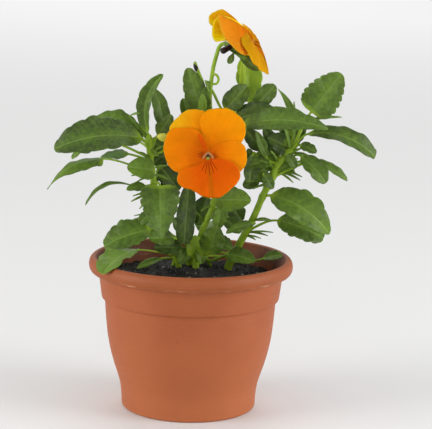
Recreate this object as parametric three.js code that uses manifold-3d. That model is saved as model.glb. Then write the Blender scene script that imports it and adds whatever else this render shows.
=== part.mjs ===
// A potted pansy: leafy stems, two open blooms and a bud in a plain moulded pot.
// Millimetres, +Z up. The origin is the centre of the pot's flat base, and -Y is the
// side that the front bloom faces.

import * as THREE from "three";
import { mergeVertices } from "three/addons/utils/BufferGeometryUtils.js";
import Module from "manifold-3d";

const wasm = await Module();
wasm.setup();

// Driving dimensions of the pot
const rimRadius = 60; // half of a 12 cm pot
const rimHeight = 89.8;
const lipHalfHeight = 4.4;
const lipHalfThickness = 2.9;
const bandTop = { radius: 54.1, height: 79.6 };
const bandBottom = { radius: 52.4, height: 66.5 };
const bodyCurve = [[40.1, 8], [41.2, 15.5], [44.6, 26], [47.8, 39], [50.5, 65.3]];
const footRadius = 39.7;
const footFillet = 1.8;
const wall = 2.1;
const shoulder = { radius: 47.5, height: 38 }; // where the inside starts to narrow
const floorThickness = 3;
const potSides = 36;
const drainHoles = { count: 6, radius: 3.5, ring: 25, sides: 8 };

// Driving dimensions of the soil
const gap = 0.3; // between pieces that touch
const soilLevel = 77.6;
const crownMound = { x: 2, y: 14, height: 3.2, spread: 16 };
const soilLump = 0.7;
const soilGrid = { rings: 4, sides: 24 };

// Driving dimensions of the plant
const bladeThickness = 0.7;
const petalThickness = 0.7;
const petioleRadius = 0.85;
const tipRadius = 0.35; // half of a blade's width at its very tip
const toothed = { from: 0.12, to: 0.94 }; // the share of a blade's length that has teeth
const hub = { radius: 2.3, depth: 0.7 }; // where the petals meet, below the throat
const cupRadius = 1.7;
const sliver = 0.01; // edges shorter than this close up where grown parts join
const leftBud = { middle: [-17.8, -1.2, 160.4], along: [-1, 0, 0.15], length: 7.5, radius: 2.5 };

const colours = {
  pot: "#b0603f",
  soil: "#2a2622",
  leaf: "#55782f",
  petals: "#ef8a00",
  bud: "#b9c143",
};

// The plant's stems, as points up each stem with the radius at its foot and head
const stems = {
  left: {
    route: [[-6, 15, 70], [-8, 13, 84], [-14, 8, 100],
      [-19, 5, 118], [-23, 3, 134], [-25, 2, 148], [-26, 1, 160]],
    radii: [1.6, 1.3],
  },
  centre: {
    route: [[3, 13, 70], [3, 13, 84], [5, 11, 98], [8, 9, 108],
      [12, 8, 118], [15, 8, 135], [14, 10, 155], [10, 12, 172]],
    radii: [1.7, 1.3],
  },
  right: {
    route: [[20, 18, 70], [23, 17, 82], [28.5, 13, 95],
      [35.5, 9, 110], [42, 6, 127], [46, 5, 136], [51, 4, 147], [57, 4, 153]],
    radii: [1.8, 1.5],
  },
  crown: {
    route: [[-2, 21, 70], [-0.7, 19, 84], [0.7, 17.3, 91], [1.6, 16.6, 96]],
    radii: [2.3, 1.2],
  },
};

// Leaves, by stem: where the leaf stalk leaves the stem and, if it bends round another stem,
// the point it passes (via); the heel and tip of the blade, the way its upper face looks, its
// width and teeth, and how far it bows up, sweeps aside, folds (degrees at each margin) and
// twists (degrees along the blade). A larger lean moves the widest place towards the tip, and
// a smaller blunt gives a fuller outline.
const leaves = {
  left: [
    // the head of the stem
    {
      from: [-25.5, 1.5, 151.5], heel: [-30, -4, 160], tip: [-80, -14, 154], face: [0, -0.75, 0.65],
      width: 24, bow: 8, blunt: 0.62, teeth: 5,
    },
    {
      from: [-26, 1, 158], heel: [-31, 4, 162], tip: [-59, 10, 168], face: [0, -0.6, 0.8],
      width: 12, bow: 6, teeth: 3,
    },
    {
      from: [-26, 1, 159.3], heel: [-27, 0, 163], tip: [-19, -3, 197], face: [-0.3, -0.9, 0.2],
      width: 11, sweep: -5, fold: 20, blunt: 0.6, teeth: 3,
    },
    {
      from: [-25.8, 1.2, 156.5], heel: [-18, 6, 164], tip: [-24, 10, 186], face: [0.1, -1, 0.1],
      width: 9, sweep: 1.5, teeth: 2,
    },
    {
      from: [-25.2, 1.9, 149.5], heel: [-21, 2, 161], tip: [-14, 4, 173], face: [0.2, -0.9, 0.3],
      width: 8, bow: 1, teeth: 2,
    },
    {
      from: [-25.2, 1.9, 149], heel: [-24, 6, 157], tip: [-14, 12, 147], face: [0, -0.8, 0.6],
      width: 12, bow: 2, teeth: 2,
    },
    {
      from: [-25.5, 1.5, 153], heel: [-34, 12, 157], tip: [-64, 34, 155], face: [0, -0.3, 0.95],
      width: 17, bow: 5, teeth: 2,
    },
    {
      from: [-25.9, 1.1, 158], heel: [-20, 15, 160], tip: [-6, 42, 158], face: [0, 0.2, 0.95],
      width: 16, bow: 4, teeth: 2,
    },
    // the middle of the stem
    {
      from: [-25, 2, 147.5], heel: [-56, 4, 156], tip: [-71, 2, 146], face: [0, -0.5, 0.85],
      width: 8, bow: 2, teeth: 2,
    },
    {
      from: [-24.7, 2.1, 145], heel: [-38, 5, 149], tip: [-54, 7, 147], face: [0, -0.4, 0.9],
      width: 9, bow: 2,
    },
    {
      from: [-24, 2, 138], heel: [-52, -6, 148], tip: [-84, -14, 131], face: [-0.25, -0.35, 0.9],
      width: 13, bow: 4, fold: -22, twist: -25, lean: 0.62, teeth: 4,
    },
    {
      from: [-24, 2, 140], heel: [-22, -5, 141], tip: [-37, -12, 144], face: [0, -0.9, 0.4],
      width: 13, bow: 2, blunt: 0.55, teeth: 2,
    },
    {
      from: [-23, 2, 133], heel: [-28, -3, 131], tip: [-38, -6, 130], face: [0, -0.6, 0.8],
      width: 7, bow: 1,
    },
    {
      from: [-23, 2, 132], heel: [-33, 1, 130], tip: [-62, -4, 120], face: [-0.35, -0.2, 0.9],
      width: 9, bow: 3, teeth: 2,
    },
    {
      from: [-23, 2, 134], heel: [-19, -9, 133], tip: [-17.5, -24, 104], face: [0, -0.9, 0.4],
      width: 22, bow: 3, lean: 0.75, teeth: 5,
    },
  ],
  centre: [
    // round the stem below the open bloom
    {
      from: [14, 8, 128], heel: [-2, 0, 132], tip: [-5, -6, 100], face: [0, -0.95, 0.3],
      width: 14, bow: 3, lean: 1, teeth: 3,
    },
    {
      from: [14, 8, 126], heel: [15, -1, 126], tip: [34, -8, 125], face: [0, -0.9, 0.45],
      width: 14, bow: 1, teeth: 3,
    },
    {
      from: [12.5, 8, 120], heel: [17, 2, 120.6], tip: [15, 1.5, 107], face: [0.2, -0.9, 0.3],
      width: 7, bow: 1,
    },
    {
      from: [12.5, 8, 120], heel: [18, 13, 124], tip: [30, 14, 109], face: [0, -0.9, 0.4],
      width: 13, bow: 2, teeth: 2,
    },
    {
      from: [14.5, 8, 130], heel: [2, 20, 140], tip: [-12, 42, 140], face: [0, 0.2, 0.95],
      width: 16, bow: 5, teeth: 2,
    },
    {
      from: [15, 8, 132], heel: [17, 20, 132], tip: [22, 42, 134], face: [0, 0.1, 0.98],
      width: 15, bow: 5, teeth: 2,
    },
    {
      from: [3.6, 12.4, 89], heel: [10, 1, 92], tip: [15, -4, 109], face: [0, -0.95, 0.3],
      width: 15, bow: 1, blunt: 0.55, teeth: 2,
    },
    // behind and above the open bloom
    {
      from: [14, 10, 158], heel: [28, -4, 169], tip: [77, -12, 170], face: [0, -0.75, 0.65],
      width: 16.5, bow: 5, teeth: 5,
    },
    {
      from: [10, 12, 168], heel: [2, 13, 176], tip: [-4, 14, 199.5], face: [0, -0.98, 0.1],
      width: 12.5, bow: 1, lean: 1.1, blunt: 0.6, teeth: 4,
    },
    {
      from: [11.4, 11.6, 165.5], heel: [-3, 18, 169], tip: [-7, 19, 181], face: [0, -0.98, 0.1],
      width: 6, bow: 1,
    },
    {
      from: [10.8, 11.8, 167.5], heel: [5, 9, 174], tip: [5, 9, 184], face: [0, -0.98, 0.1],
      width: 4.5, bow: 0.5,
    },
    {
      from: [9.5, 12.5, 187], heel: [18, 10, 176], tip: [31, 13, 189], face: [0, -0.95, 0.2],
      width: 11, bow: 2, blunt: 0.55, teeth: 2,
    },
    {
      from: [11.5, 11.5, 164.5], heel: [26, 8, 171], tip: [46, 6, 177], face: [0, -0.85, 0.5],
      width: 14, bow: 2, blunt: 0.55, teeth: 2,
    },
    {
      from: [10, 12, 171.5], heel: [33.2, 27, 178], tip: [31.2, 34, 206.4], face: [0, -0.98, 0.1],
      width: 15, bow: 2, lean: 1, blunt: 0.55, teeth: 3,
    },
    {
      from: [10.8, 11.8, 167], heel: [37, 11, 180], tip: [45, 10, 190], face: [0, -0.95, 0.2],
      width: 8.5, bow: 1, lean: 1.3, blunt: 0.45,
    },
    {
      from: [13, 11, 162], heel: [12, 24, 165], tip: [10, 52, 152], face: [0, 0.2, 0.95],
      width: 18, bow: 6, teeth: 2,
    },
    {
      from: [13, 11, 160], heel: [20, 20, 164], tip: [37, 42, 166], face: [0, 0.1, 0.95],
      width: 16, bow: 5, teeth: 2,
    },
  ],
  right: [
    // low on the stem
    {
      from: [34, 10, 106], heel: [36, -1, 111], tip: [20, -6, 105.5], face: [0, -0.6, 0.8],
      width: 7, bow: 1,
    },
    {
      from: [32, 11, 103], heel: [50.4, 6, 111.3], tip: [77.9, 2, 102.1], face: [0, -0.8, 0.6],
      width: 18.5, bow: 3, blunt: 0.5, lean: 1.05, teeth: 4,
    },
    {
      from: [41, 6, 125], heel: [44, 3, 127], tip: [80, -4, 109], face: [0, -0.8, 0.6],
      width: 22, bow: 9, teeth: 5,
    },
    {
      from: [41, 7, 126], heel: [52, 22, 123], tip: [66, 44, 109], face: [0.2, 0.4, 0.9],
      width: 17, bow: 4, teeth: 2,
    },
    // beside the open bloom
    {
      from: [45, 5, 137], heel: [67, 3, 148], tip: [78.5, -1, 136], face: [0.2, -0.85, 0.5],
      width: 12, bow: 2, lean: 1.2, blunt: 0.5,
    },
    {
      from: [58, 5, 146], heel: [72, 9, 145.6], tip: [91, 8, 136.3], face: [0.1, -0.6, 0.8],
      width: 7, bow: 2, blunt: 0.5,
    },
    {
      from: [48, 4.6, 140.5], heel: [45, 3, 146], tip: [32, 1, 144], face: [0, -0.7, 0.7],
      width: 10, bow: 2, teeth: 2,
    },
    {
      from: [46, 5, 138], heel: [36, 4, 139], tip: [32, 6, 154], face: [0.2, -0.95, 0.2],
      width: 6, bow: 1,
    },
    {
      from: [49.5, 4.2, 144.5], heel: [43, 3, 149], tip: [36, 0, 165], face: [0.1, -0.9, 0.3],
      width: 5, bow: 1,
    },
    {
      from: [48.5, 4.4, 141.5], heel: [49, 7, 151], tip: [41, 9, 167], face: [0, -0.9, 0.3],
      width: 7, bow: 1, teeth: 2,
    },
    {
      from: [50, 4, 146], heel: [51.3, 13, 151.5], tip: [65.3, 12, 170.4], face: [0, -0.9, 0.4],
      width: 14, bow: 2, teeth: 2,
    },
    {
      from: [47, 4.8, 138.5], heel: [50, 2, 142], tip: [60, 1, 146], face: [0, -0.7, 0.7],
      width: 5, bow: 1,
    },
    // the head of the stem
    {
      from: [55, 4, 151], heel: [66, 0, 164], tip: [105, -6, 155], face: [0, -0.45, 0.9],
      width: 13, bow: 5, blunt: 0.55, teeth: 4,
    },
    {
      from: [57, 4, 152], heel: [67.9, 3, 176.4], tip: [84.6, 1, 199.6], face: [-0.1, -0.98, 0.1],
      width: 22.6, bow: 1, lean: 0.6, blunt: 0.5, teeth: 6,
    },
    {
      from: [56, 4, 152], heel: [58.5, 6, 166], tip: [48.5, 6, 189], face: [0, -0.95, 0.2],
      width: 4.4, sweep: 2.5,
    },
    {
      from: [52, 4, 148], heel: [57, 15, 157], tip: [58, 40, 167], face: [0, -0.3, 0.95],
      width: 16, bow: 4, teeth: 2,
    },
  ],
  crown: [
    {
      from: [0.5, 17.5, 90], via: [-5, 5, 98], heel: [-24, -4, 106], tip: [-50, -8, 96.4],
      face: [0, -0.7, 0.7],
      width: 18, bow: 3, blunt: 0.6, teeth: 5,
    },
    {
      from: [-0.8, 19.2, 83.5], via: [-2, 4, 88], heel: [-32, -8, 95], tip: [-49, -39, 87.8],
      face: [-0.2, -0.3, 0.93],
      width: 20, bow: 3, lean: 1.2, blunt: 0.6, teeth: 4,
    },
    {
      from: [-0.6, 19, 84.5], via: [20, 30, 88], heel: [43, 10, 87.5], tip: [54, 6, 90], face: [0, -0.6, 0.8],
      width: 8, bow: 1,
    },
    {
      from: [1, 17, 88], heel: [21, 11, 90], tip: [38, 6, 86.5], face: [0, -0.8, 0.6],
      width: 10, bow: 1, teeth: 2,
    },
    {
      from: [0, 18, 87], heel: [-5, 7, 93], tip: [-22, 2, 94.5], face: [0, -0.8, 0.6],
      width: 10, bow: 1, teeth: 2,
    },
    {
      from: [1.3, 16.8, 93.5], heel: [-12, -4, 100], tip: [-25, -12, 99], face: [0, -0.8, 0.6],
      width: 9, bow: 1, teeth: 2,
    },
    {
      from: [-1, 19, 83], heel: [-18, 10, 86], tip: [-32, 2, 81.5], face: [0, -0.7, 0.7],
      width: 4, bow: 1,
    },
    {
      from: [0, 18, 88], heel: [8, 34, 96], tip: [12, 60, 97], face: [0, -0.1, 0.98],
      width: 17, bow: 5, teeth: 2,
    },
    {
      from: [-0.4, 18.5, 84], heel: [-20, 32, 94], tip: [-42, 46, 97], face: [0, -0.2, 0.98],
      width: 16, bow: 4, teeth: 2,
    },
  ],
};

// Narrow stipule lobes, by stem: foot, tip and width
const stipules = {
  left: [
    { foot: [-23, 2, 138], tip: [-36, -1, 137.5], width: 2.2 },
    { foot: [-22, 3, 127], tip: [-36, 0, 122], width: 2.2 },
    { foot: [-18.5, 5, 113], tip: [-37, 2, 110], width: 2.2 },
    { foot: [-18, 5, 110], tip: [-28, 1, 109], width: 1.8 },
    { foot: [-26, 1, 158], tip: [-37, 3, 171], width: 3 },
    { foot: [-31, 0, 174], tip: [-38, 1, 172], width: 1.8 },
    { foot: [-26, 1, 154], tip: [-20, -1, 149], width: 2.4 },
    { foot: [-25, 2, 146], tip: [-31, -3, 152], width: 2.4 },
  ],
  centre: [
    { foot: [9, 12.5, 184], tip: [6, 11, 193], width: 2.6 },
    { foot: [8, 9.5, 107], tip: [2, 6, 116], width: 2.4 },
    { foot: [12, 8, 118], tip: [22, 3, 113], width: 2.6 },
  ],
  right: [
    { foot: [36, 9, 110.5], tip: [47, -1, 112.5], width: 3.4 },
    { foot: [32, 11, 103], tip: [45, 5, 102.5], width: 1.8 },
    { foot: [31, 11, 101], tip: [38, 6, 99.5], width: 1.8 },
    { foot: [45, 5, 135], tip: [32, 1, 138], width: 2.6 },
    { foot: [45, 5, 138], tip: [34, 2, 141], width: 2 },
    { foot: [50, 4, 141], tip: [63, 2, 136.5], width: 2 },
    { foot: [50, 4, 142], tip: [64, 2, 138.5], width: 2 },
    { foot: [57, 4, 152], tip: [68, 2, 151], width: 2.2 },
    { foot: [58.5, 4.5, 159], tip: [58, 6, 182], width: 2.4 },
    { foot: [66, 3.5, 171.5], tip: [86, 4, 174], width: 2.8 },
  ],
  crown: [
    { foot: [-0.5, 18.5, 86], tip: [-4, 9, 90], width: 2.4 },
    { foot: [0, 18, 87], tip: [7, 22, 92], width: 2.4 },
  ],
};

// Flower stalks, as points and radius; the last point is where the bloom is held
const flowerStalks = {
  left: [{ route: [[-25, 2, 148], [-16, 4, 153], [-12, 2, 158], [-13.5, -1, 160]], radius: 0.8 }],
  centre: [
    {
      route: [[14.5, 9, 146], [16, 4, 160], [14, -6, 166], [10.3, -12.7, 161.5],
        [9.2, -14.4, 156.5], [8.74, -13.6, 152.3]],
      radius: 1,
    },
    {
      route: [[10, 12, 170], [9, 13, 182], [9.6, 13, 192], [10.8, 13.2, 201], [13, 15, 209.2],
        [15.6, 15.2, 213.8], [18.8, 14.6, 214.1], [22.35, 10.7, 214.2]],
      radius: 1.15,
    },
    {
      route: [[9.8, 12.5, 196.5], [12.4, 11.5, 196], [13.8, 11, 193.5], [12.8, 11, 191], [9.8, 12, 190.4]],
      radius: 0.7,
    },
    {
      route: [[8, 13, 178], [5, 13.5, 190], [2.5, 13.5, 196], [1, 13.5, 199.5], [-0.2, 13.5, 202.5]],
      radius: 0.9,
    },
  ],
  right: [],
  crown: [],
};

// Petals of an open bloom, from back to front: degrees clockwise from the bloom's upper side,
// reach, degrees of spread each way, fullness of the outline (smaller is fuller), stretch
// across, height of its layer and how far its outer edge bends back
const petals = {
  upperLeft: { turn: -36, reach: 28, spread: 60, blunt: 0.3, stretch: 1, layer: -2.9, reflex: 2 },
  upperRight: { turn: 26, reach: 27.8, spread: 66, blunt: 0.3, stretch: 1, layer: -1.8, reflex: 2 },
  left: { turn: -77, reach: 26, spread: 61, blunt: 0.36, stretch: 1, layer: -0.7, reflex: 2 },
  right: { turn: 91, reach: 22.3, spread: 62, blunt: 0.36, stretch: 1, layer: -0.7, reflex: 2 },
  lower: { turn: 172, reach: 24, spread: 80, blunt: 0.42, stretch: 1.18, layer: 0.4, reflex: 2 },
};

// Open blooms: the eye and the way it looks, then points in the bloom's own frame (right, up,
// out): the throat, the claw where the petals end behind, the green cup that holds them and
// the tip of the spur. Each sepal has its turn in degrees, its reach and its depth.
const blooms = {
  front: {
    eye: [8.3, -22, 153.2],
    normal: [-0.05, -0.97, 0.22],
    up: [0.02, 0.22, 1],
    size: 1,
    petals,
    throat: [0, 0, -2.5],
    claw: [0, 0.7, -6.3],
    cup: [0, 1, -8.4],
    spur: [0, -2.5, -12],
    sepals: [
      [36, 10, -7],
      [108, 10, -7],
      [180, 10, -7],
      [-108, 10, -7],
      [-36, 10, -7],
    ],
    held: "centre",
  },
  top: {
    eye: [33.4, 14, 217.2],
    normal: [0.74, 0.3, 0.6],
    up: [-0.63, 0, 0.777],
    size: 0.88,
    petals: {
      ...petals,
      upperLeft: { ...petals.upperLeft, turn: -40, reach: 32, reflex: 13 },
      upperRight: { ...petals.upperRight, reach: 32, reflex: 5 },
      left: { ...petals.left, reflex: 4 },
      right: { ...petals.right, reflex: 4 },
      lower: { ...petals.lower, reflex: 7 },
    },
    throat: [0, 3, -5],
    claw: [0, 4.2, -8.95],
    cup: [0, 4.6, -11],
    spur: [0, 3.4, -17.5],
    sepals: [
      [76, 7, -12],
      [108, 9, -8.5],
      [180, 15.6, -7],
      [-152, 7, -16],
      [-108, 9, -8.5],
      [-36, 8, -11.5],
    ],
    held: "centre",
  },
};

function toSolid(geometry) {
  const bare = geometry.clone();
  bare.deleteAttribute("normal");
  bare.deleteAttribute("uv");
  const merged = mergeVertices(bare, 1e-4);
  return new wasm.Manifold(
    new wasm.Mesh({
      numProp: 3,
      vertProperties: new Float32Array(merged.attributes.position.array),
      triVerts: new Uint32Array(merged.index.array),
    }),
  );
}

function toGeometry(solid) {
  const mesh = solid.getMesh();
  const geometry = new THREE.BufferGeometry();
  geometry.setAttribute("position", new THREE.BufferAttribute(mesh.vertProperties, 3));
  geometry.setIndex(new THREE.BufferAttribute(mesh.triVerts, 1));
  geometry.computeVertexNormals();
  return geometry;
}

// Joins grown parts into one body without slivers. A hollow that joining seals is filled.
function fuse(solids) {
  const pieces = wasm.Manifold.union(solids).decompose();
  const body = pieces.reduce((largest, piece) => (piece.volume() > largest.volume() ? piece : largest));
  return body.simplify(sliver);
}

function geometryFrom(points, triangles) {
  const geometry = new THREE.BufferGeometry();
  const numbers = points.flatMap((point) => point.toArray());
  geometry.setAttribute("position", new THREE.Float32BufferAttribute(numbers, 3));
  geometry.setIndex(triangles);
  return geometry;
}

const vector = ([x, y, z]) => new THREE.Vector3(x, y, z);

// A closed blade from rows of points on its upper face, each thickened by its row's own down
function bladeFrom(rows, downs) {
  const across = rows[0].length;
  const last = rows.length - 1;
  const points = [];
  rows.forEach((row, i) => {
    points.push(...row, ...row.map((point) => point.clone().add(downs[i])));
  });
  const top = (i, j) => i * 2 * across + j;
  const under = (i, j) => top(i, j) + across;
  const triangles = [];
  const quad = (a, b, c, d) => triangles.push(a, b, c, a, c, d);
  const edge = across - 1;
  for (let i = 0; i < last; i += 1) {
    for (let j = 0; j < edge; j += 1) {
      // the two faces are split alike, and the split is mirrored about the rib
      if (j < edge / 2) {
        quad(top(i, j), top(i, j + 1), top(i + 1, j + 1), top(i + 1, j));
        quad(under(i, j), under(i + 1, j), under(i + 1, j + 1), under(i, j + 1));
      } else {
        quad(top(i, j + 1), top(i + 1, j + 1), top(i + 1, j), top(i, j));
        quad(under(i + 1, j), under(i + 1, j + 1), under(i, j + 1), under(i, j));
      }
    }
    quad(top(i, 0), top(i + 1, 0), under(i + 1, 0), under(i, 0));
    quad(top(i, edge), under(i, edge), under(i + 1, edge), top(i + 1, edge));
  }
  for (let j = 0; j < edge; j += 1) {
    quad(top(0, j), under(0, j), under(0, j + 1), top(0, j + 1));
    quad(top(last, j), top(last, j + 1), under(last, j + 1), under(last, j));
  }
  return toSolid(geometryFrom(points, triangles));
}

// A closed tapering tube along a smooth curve
function tube(route, radii, sides, steps) {
  const curve = new THREE.CatmullRomCurve3(route.map(vector), false, "centripetal");
  const points = [];
  const triangles = [];
  const aside = new THREE.Vector3(0.31, -0.87, 0.39);
  for (let i = 0; i <= steps; i += 1) {
    const along = curve.getTangentAt(i / steps);
    aside.addScaledVector(along, -aside.dot(along)).normalize();
    const upward = new THREE.Vector3().crossVectors(along, aside);
    const radius = radii[0] + (radii[1] - radii[0]) * (i / steps);
    const middle = curve.getPointAt(i / steps);
    for (let k = 0; k < sides; k += 1) {
      const turn = (2 * Math.PI * k) / sides;
      const point = middle.clone().addScaledVector(aside, radius * Math.cos(turn));
      points.push(point.addScaledVector(upward, radius * Math.sin(turn)));
    }
  }
  for (let i = 0; i < steps; i += 1) {
    for (let k = 0; k < sides; k += 1) {
      const a = i * sides + k;
      const b = i * sides + ((k + 1) % sides);
      triangles.push(a, b, b + sides, a, b + sides, a + sides);
    }
  }
  const end = steps * sides;
  for (let k = 1; k < sides - 1; k += 1) triangles.push(0, k + 1, k, end, end + k, end + k + 1);
  return toSolid(geometryFrom(points, triangles));
}

// Half of the blade's width at a share t of its length, cut into rounded teeth
function halfWidth({ width, teeth = 0, lean = 0.82, blunt = 0.72, cut = 0.12 }, t) {
  const outline = Math.max(0, Math.sin(Math.PI * t ** lean)) ** blunt;
  let notch = 0;
  if (teeth > 0 && t > toothed.from && t < toothed.to) {
    const phase = (((t - toothed.from) / (toothed.to - toothed.from)) * teeth) % 1;
    notch = cut * (1 - Math.sin(Math.PI * phase) ** 0.6);
  }
  const least = t < 0.5 ? petioleRadius * 0.8 : tipRadius;
  return Math.max(least, (width / 2) * outline * (1 - notch));
}

// The shares of a blade's length where its outline has a corner
function stations({ width, teeth = 0 }) {
  if (teeth === 0) return width < 4 ? [0, 0.45, 1] : [0, 0.15, 0.5, 0.85, 1];
  const marks = width > 15 ? [0, 0.04] : [0];
  for (let k = 0; k < teeth; k += 1) {
    for (const place of [k, k + 0.5]) {
      marks.push(toothed.from + ((toothed.to - toothed.from) * place) / teeth);
    }
  }
  return [...marks, toothed.to, 1];
}

// A leaf: its blade, and the stalk that runs on from the blade's heel into the stem
function leafSolid(leaf) {
  const { face, width, bow = 0, sweep = 0, fold = 14, twist = 0, wave = 0.05 } = leaf;
  const heel = vector(leaf.heel);
  const span = vector(leaf.tip).sub(heel);
  const rise = vector(face).addScaledVector(span, -vector(face).dot(span) / span.lengthSq()).normalize();
  const swing = new THREE.Vector3().crossVectors(span, rise).normalize();
  const steep = Math.tan(THREE.MathUtils.degToRad(fold));
  const alongAt = (t) => {
    const slope = 4 * (1 - 2 * t);
    return span.clone().addScaledVector(rise, bow * slope).addScaledVector(swing, sweep * slope).normalize();
  };
  const rows = [];
  const downs = [];
  if (leaf.from) addStalk(rows, downs, leaf, alongAt(0), rise);
  for (const t of stations(leaf)) {
    const arc = 4 * t * (1 - t);
    const rib = heel.clone().addScaledVector(span, t);
    rib.addScaledVector(rise, bow * arc).addScaledVector(swing, sweep * arc);
    const along = alongAt(t);
    const aside = new THREE.Vector3().crossVectors(along, rise).normalize();
    aside.applyAxisAngle(along, THREE.MathUtils.degToRad(twist) * t);
    const upward = new THREE.Vector3().crossVectors(aside, along);
    const half = halfWidth(leaf, t);
    const ripple = wave * width * Math.sin(Math.PI * t) * Math.sin(9 * t + width);
    rows.push([
      rib.clone().addScaledVector(aside, -half).addScaledVector(upward, half * steep + ripple),
      rib,
      rib.clone().addScaledVector(aside, half).addScaledVector(upward, half * steep - ripple),
    ]);
    downs.push(upward.clone().multiplyScalar(-bladeThickness));
  }
  return bladeFrom(rows, downs);
}

// The leaf stalk's rows, from the stem to just short of the heel, that turn into the blade
function addStalk(rows, downs, leaf, along, rise) {
  const root = vector(leaf.from);
  const heel = vector(leaf.heel);
  const reach = root.distanceTo(heel);
  const lead = leaf.via ? vector(leaf.via) : root.clone().lerp(heel, 0.35);
  if (!leaf.via) lead.z += 0.06 * reach;
  const follow = heel.clone().addScaledVector(along, -0.3 * reach);
  const curve = new THREE.CubicBezierCurve3(root, lead, follow, heel);
  const count = reach > 16 ? 3 : 2;
  const aside = new THREE.Vector3().crossVectors(along, rise).normalize();
  for (let k = count - 1; k >= 0; k -= 1) {
    const ahead = curve.getTangentAt(k / count);
    aside.addScaledVector(ahead, -aside.dot(ahead)).normalize();
    const upward = new THREE.Vector3().crossVectors(aside, ahead);
    const half = petioleRadius * (1.1 - (0.3 * k) / count);
    const middle = curve.getPointAt(k / count);
    rows.unshift([
      middle.clone().addScaledVector(aside, -half),
      middle.clone().addScaledVector(upward, half / 2),
      middle.clone().addScaledVector(aside, half),
    ]);
    downs.unshift(upward.multiplyScalar(-1.4 * half));
  }
}

function stipule({ foot, tip, width }) {
  return leafSolid({ heel: foot, tip, width, face: [0, -0.6, 0.8], bow: 1 });
}

function bloomFrame({ eye, normal, up }) {
  const out = vector(normal).normalize();
  const upper = vector(up).addScaledVector(out, -vector(up).dot(out)).normalize();
  const right = new THREE.Vector3().crossVectors(upper, out);
  return new THREE.Matrix4().makeBasis(right, upper, out).setPosition(vector(eye));
}

// The green cup behind a bloom: a small round base, its narrow sepals and the spur's tip
function calyx(bloom) {
  const frame = bloomFrame(bloom);
  const cup = new THREE.SphereGeometry(cupRadius, 6, 4).translate(...bloom.cup);
  const solids = [toSolid(cup.applyMatrix4(frame))];
  const face = new THREE.Vector3().setFromMatrixColumn(frame, 2).toArray();
  const inWorld = (point) => vector(point).applyMatrix4(frame).toArray();
  solids.push(tube([inWorld(bloom.cup), inWorld(bloom.spur)], [1.3, 1.1], 6, 1));
  for (const [degrees, reach, depth] of bloom.sepals) {
    const turn = THREE.MathUtils.degToRad(degrees);
    const place = (far, height) =>
      inWorld([far * Math.sin(turn), bloom.cup[1] + far * Math.cos(turn), height]);
    const heel = place(1, bloom.cup[2]);
    const tip = place(reach, depth);
    solids.push(leafSolid({ heel, tip, face, width: 2.6, fold: 5, wave: 0 }));
  }
  return solids;
}

function leafyStem(name) {
  const { route, radii } = stems[name];
  const solids = [tube(route, radii, 6, route.length + 2)];
  for (const leaf of leaves[name]) solids.push(leafSolid(leaf));
  for (const lobe of stipules[name]) solids.push(stipule(lobe));
  for (const stalk of flowerStalks[name]) {
    solids.push(tube(stalk.route, [stalk.radius, stalk.radius * 0.9], 5, stalk.route.length + 3));
  }
  for (const bloom of Object.values(blooms)) {
    if (bloom.held === name) solids.push(...calyx(bloom));
  }
  return fuse(solids);
}

function petal(shape, size, throat) {
  const { reach, blunt, stretch, layer, reflex } = shape;
  const turn = THREE.MathUtils.degToRad(shape.turn);
  const spread = THREE.MathUtils.degToRad(shape.spread);
  const across = 8;
  const rows = [];
  const downs = [];
  for (const t of [0.1, 0.5, 1]) {
    const row = [];
    for (let j = 0; j <= across; j += 1) {
      const share = (2 * j) / across - 1;
      const radius = reach * Math.max(0.02, Math.cos((share * Math.PI) / 2)) ** blunt * t;
      const along = radius * Math.cos(spread * share);
      const aside = radius * Math.sin(spread * share) * stretch;
      const height = layer * Math.min(1, t * 2.2) - reflex * t * t;
      const x = along * Math.sin(turn) + aside * Math.cos(turn);
      const y = along * Math.cos(turn) - aside * Math.sin(turn);
      const point = new THREE.Vector3(x, y, height).multiplyScalar(size);
      row.push(point.addScaledVector(vector(throat), (1 - t) ** 3));
    }
    rows.push(row);
    downs.push(new THREE.Vector3(0, 0, -petalThickness));
  }
  return bladeFrom(rows, downs);
}

// An open bloom: five petals joined at a small hub, whose claws reach back to the green cup
function bloomSolid(bloom) {
  const { throat, size, claw } = bloom;
  const solids = Object.values(bloom.petals).map((shape) => petal(shape, size, throat));
  const middle = [throat[0], throat[1], throat[2] - hub.depth];
  solids.push(toSolid(new THREE.SphereGeometry(hub.radius, 10, 6).translate(...middle)));
  solids.push(tube([middle, claw], [1.5, 1.2], 6, 1));
  return fuse(solids).transform(bloomFrame(bloom).toArray());
}

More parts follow.
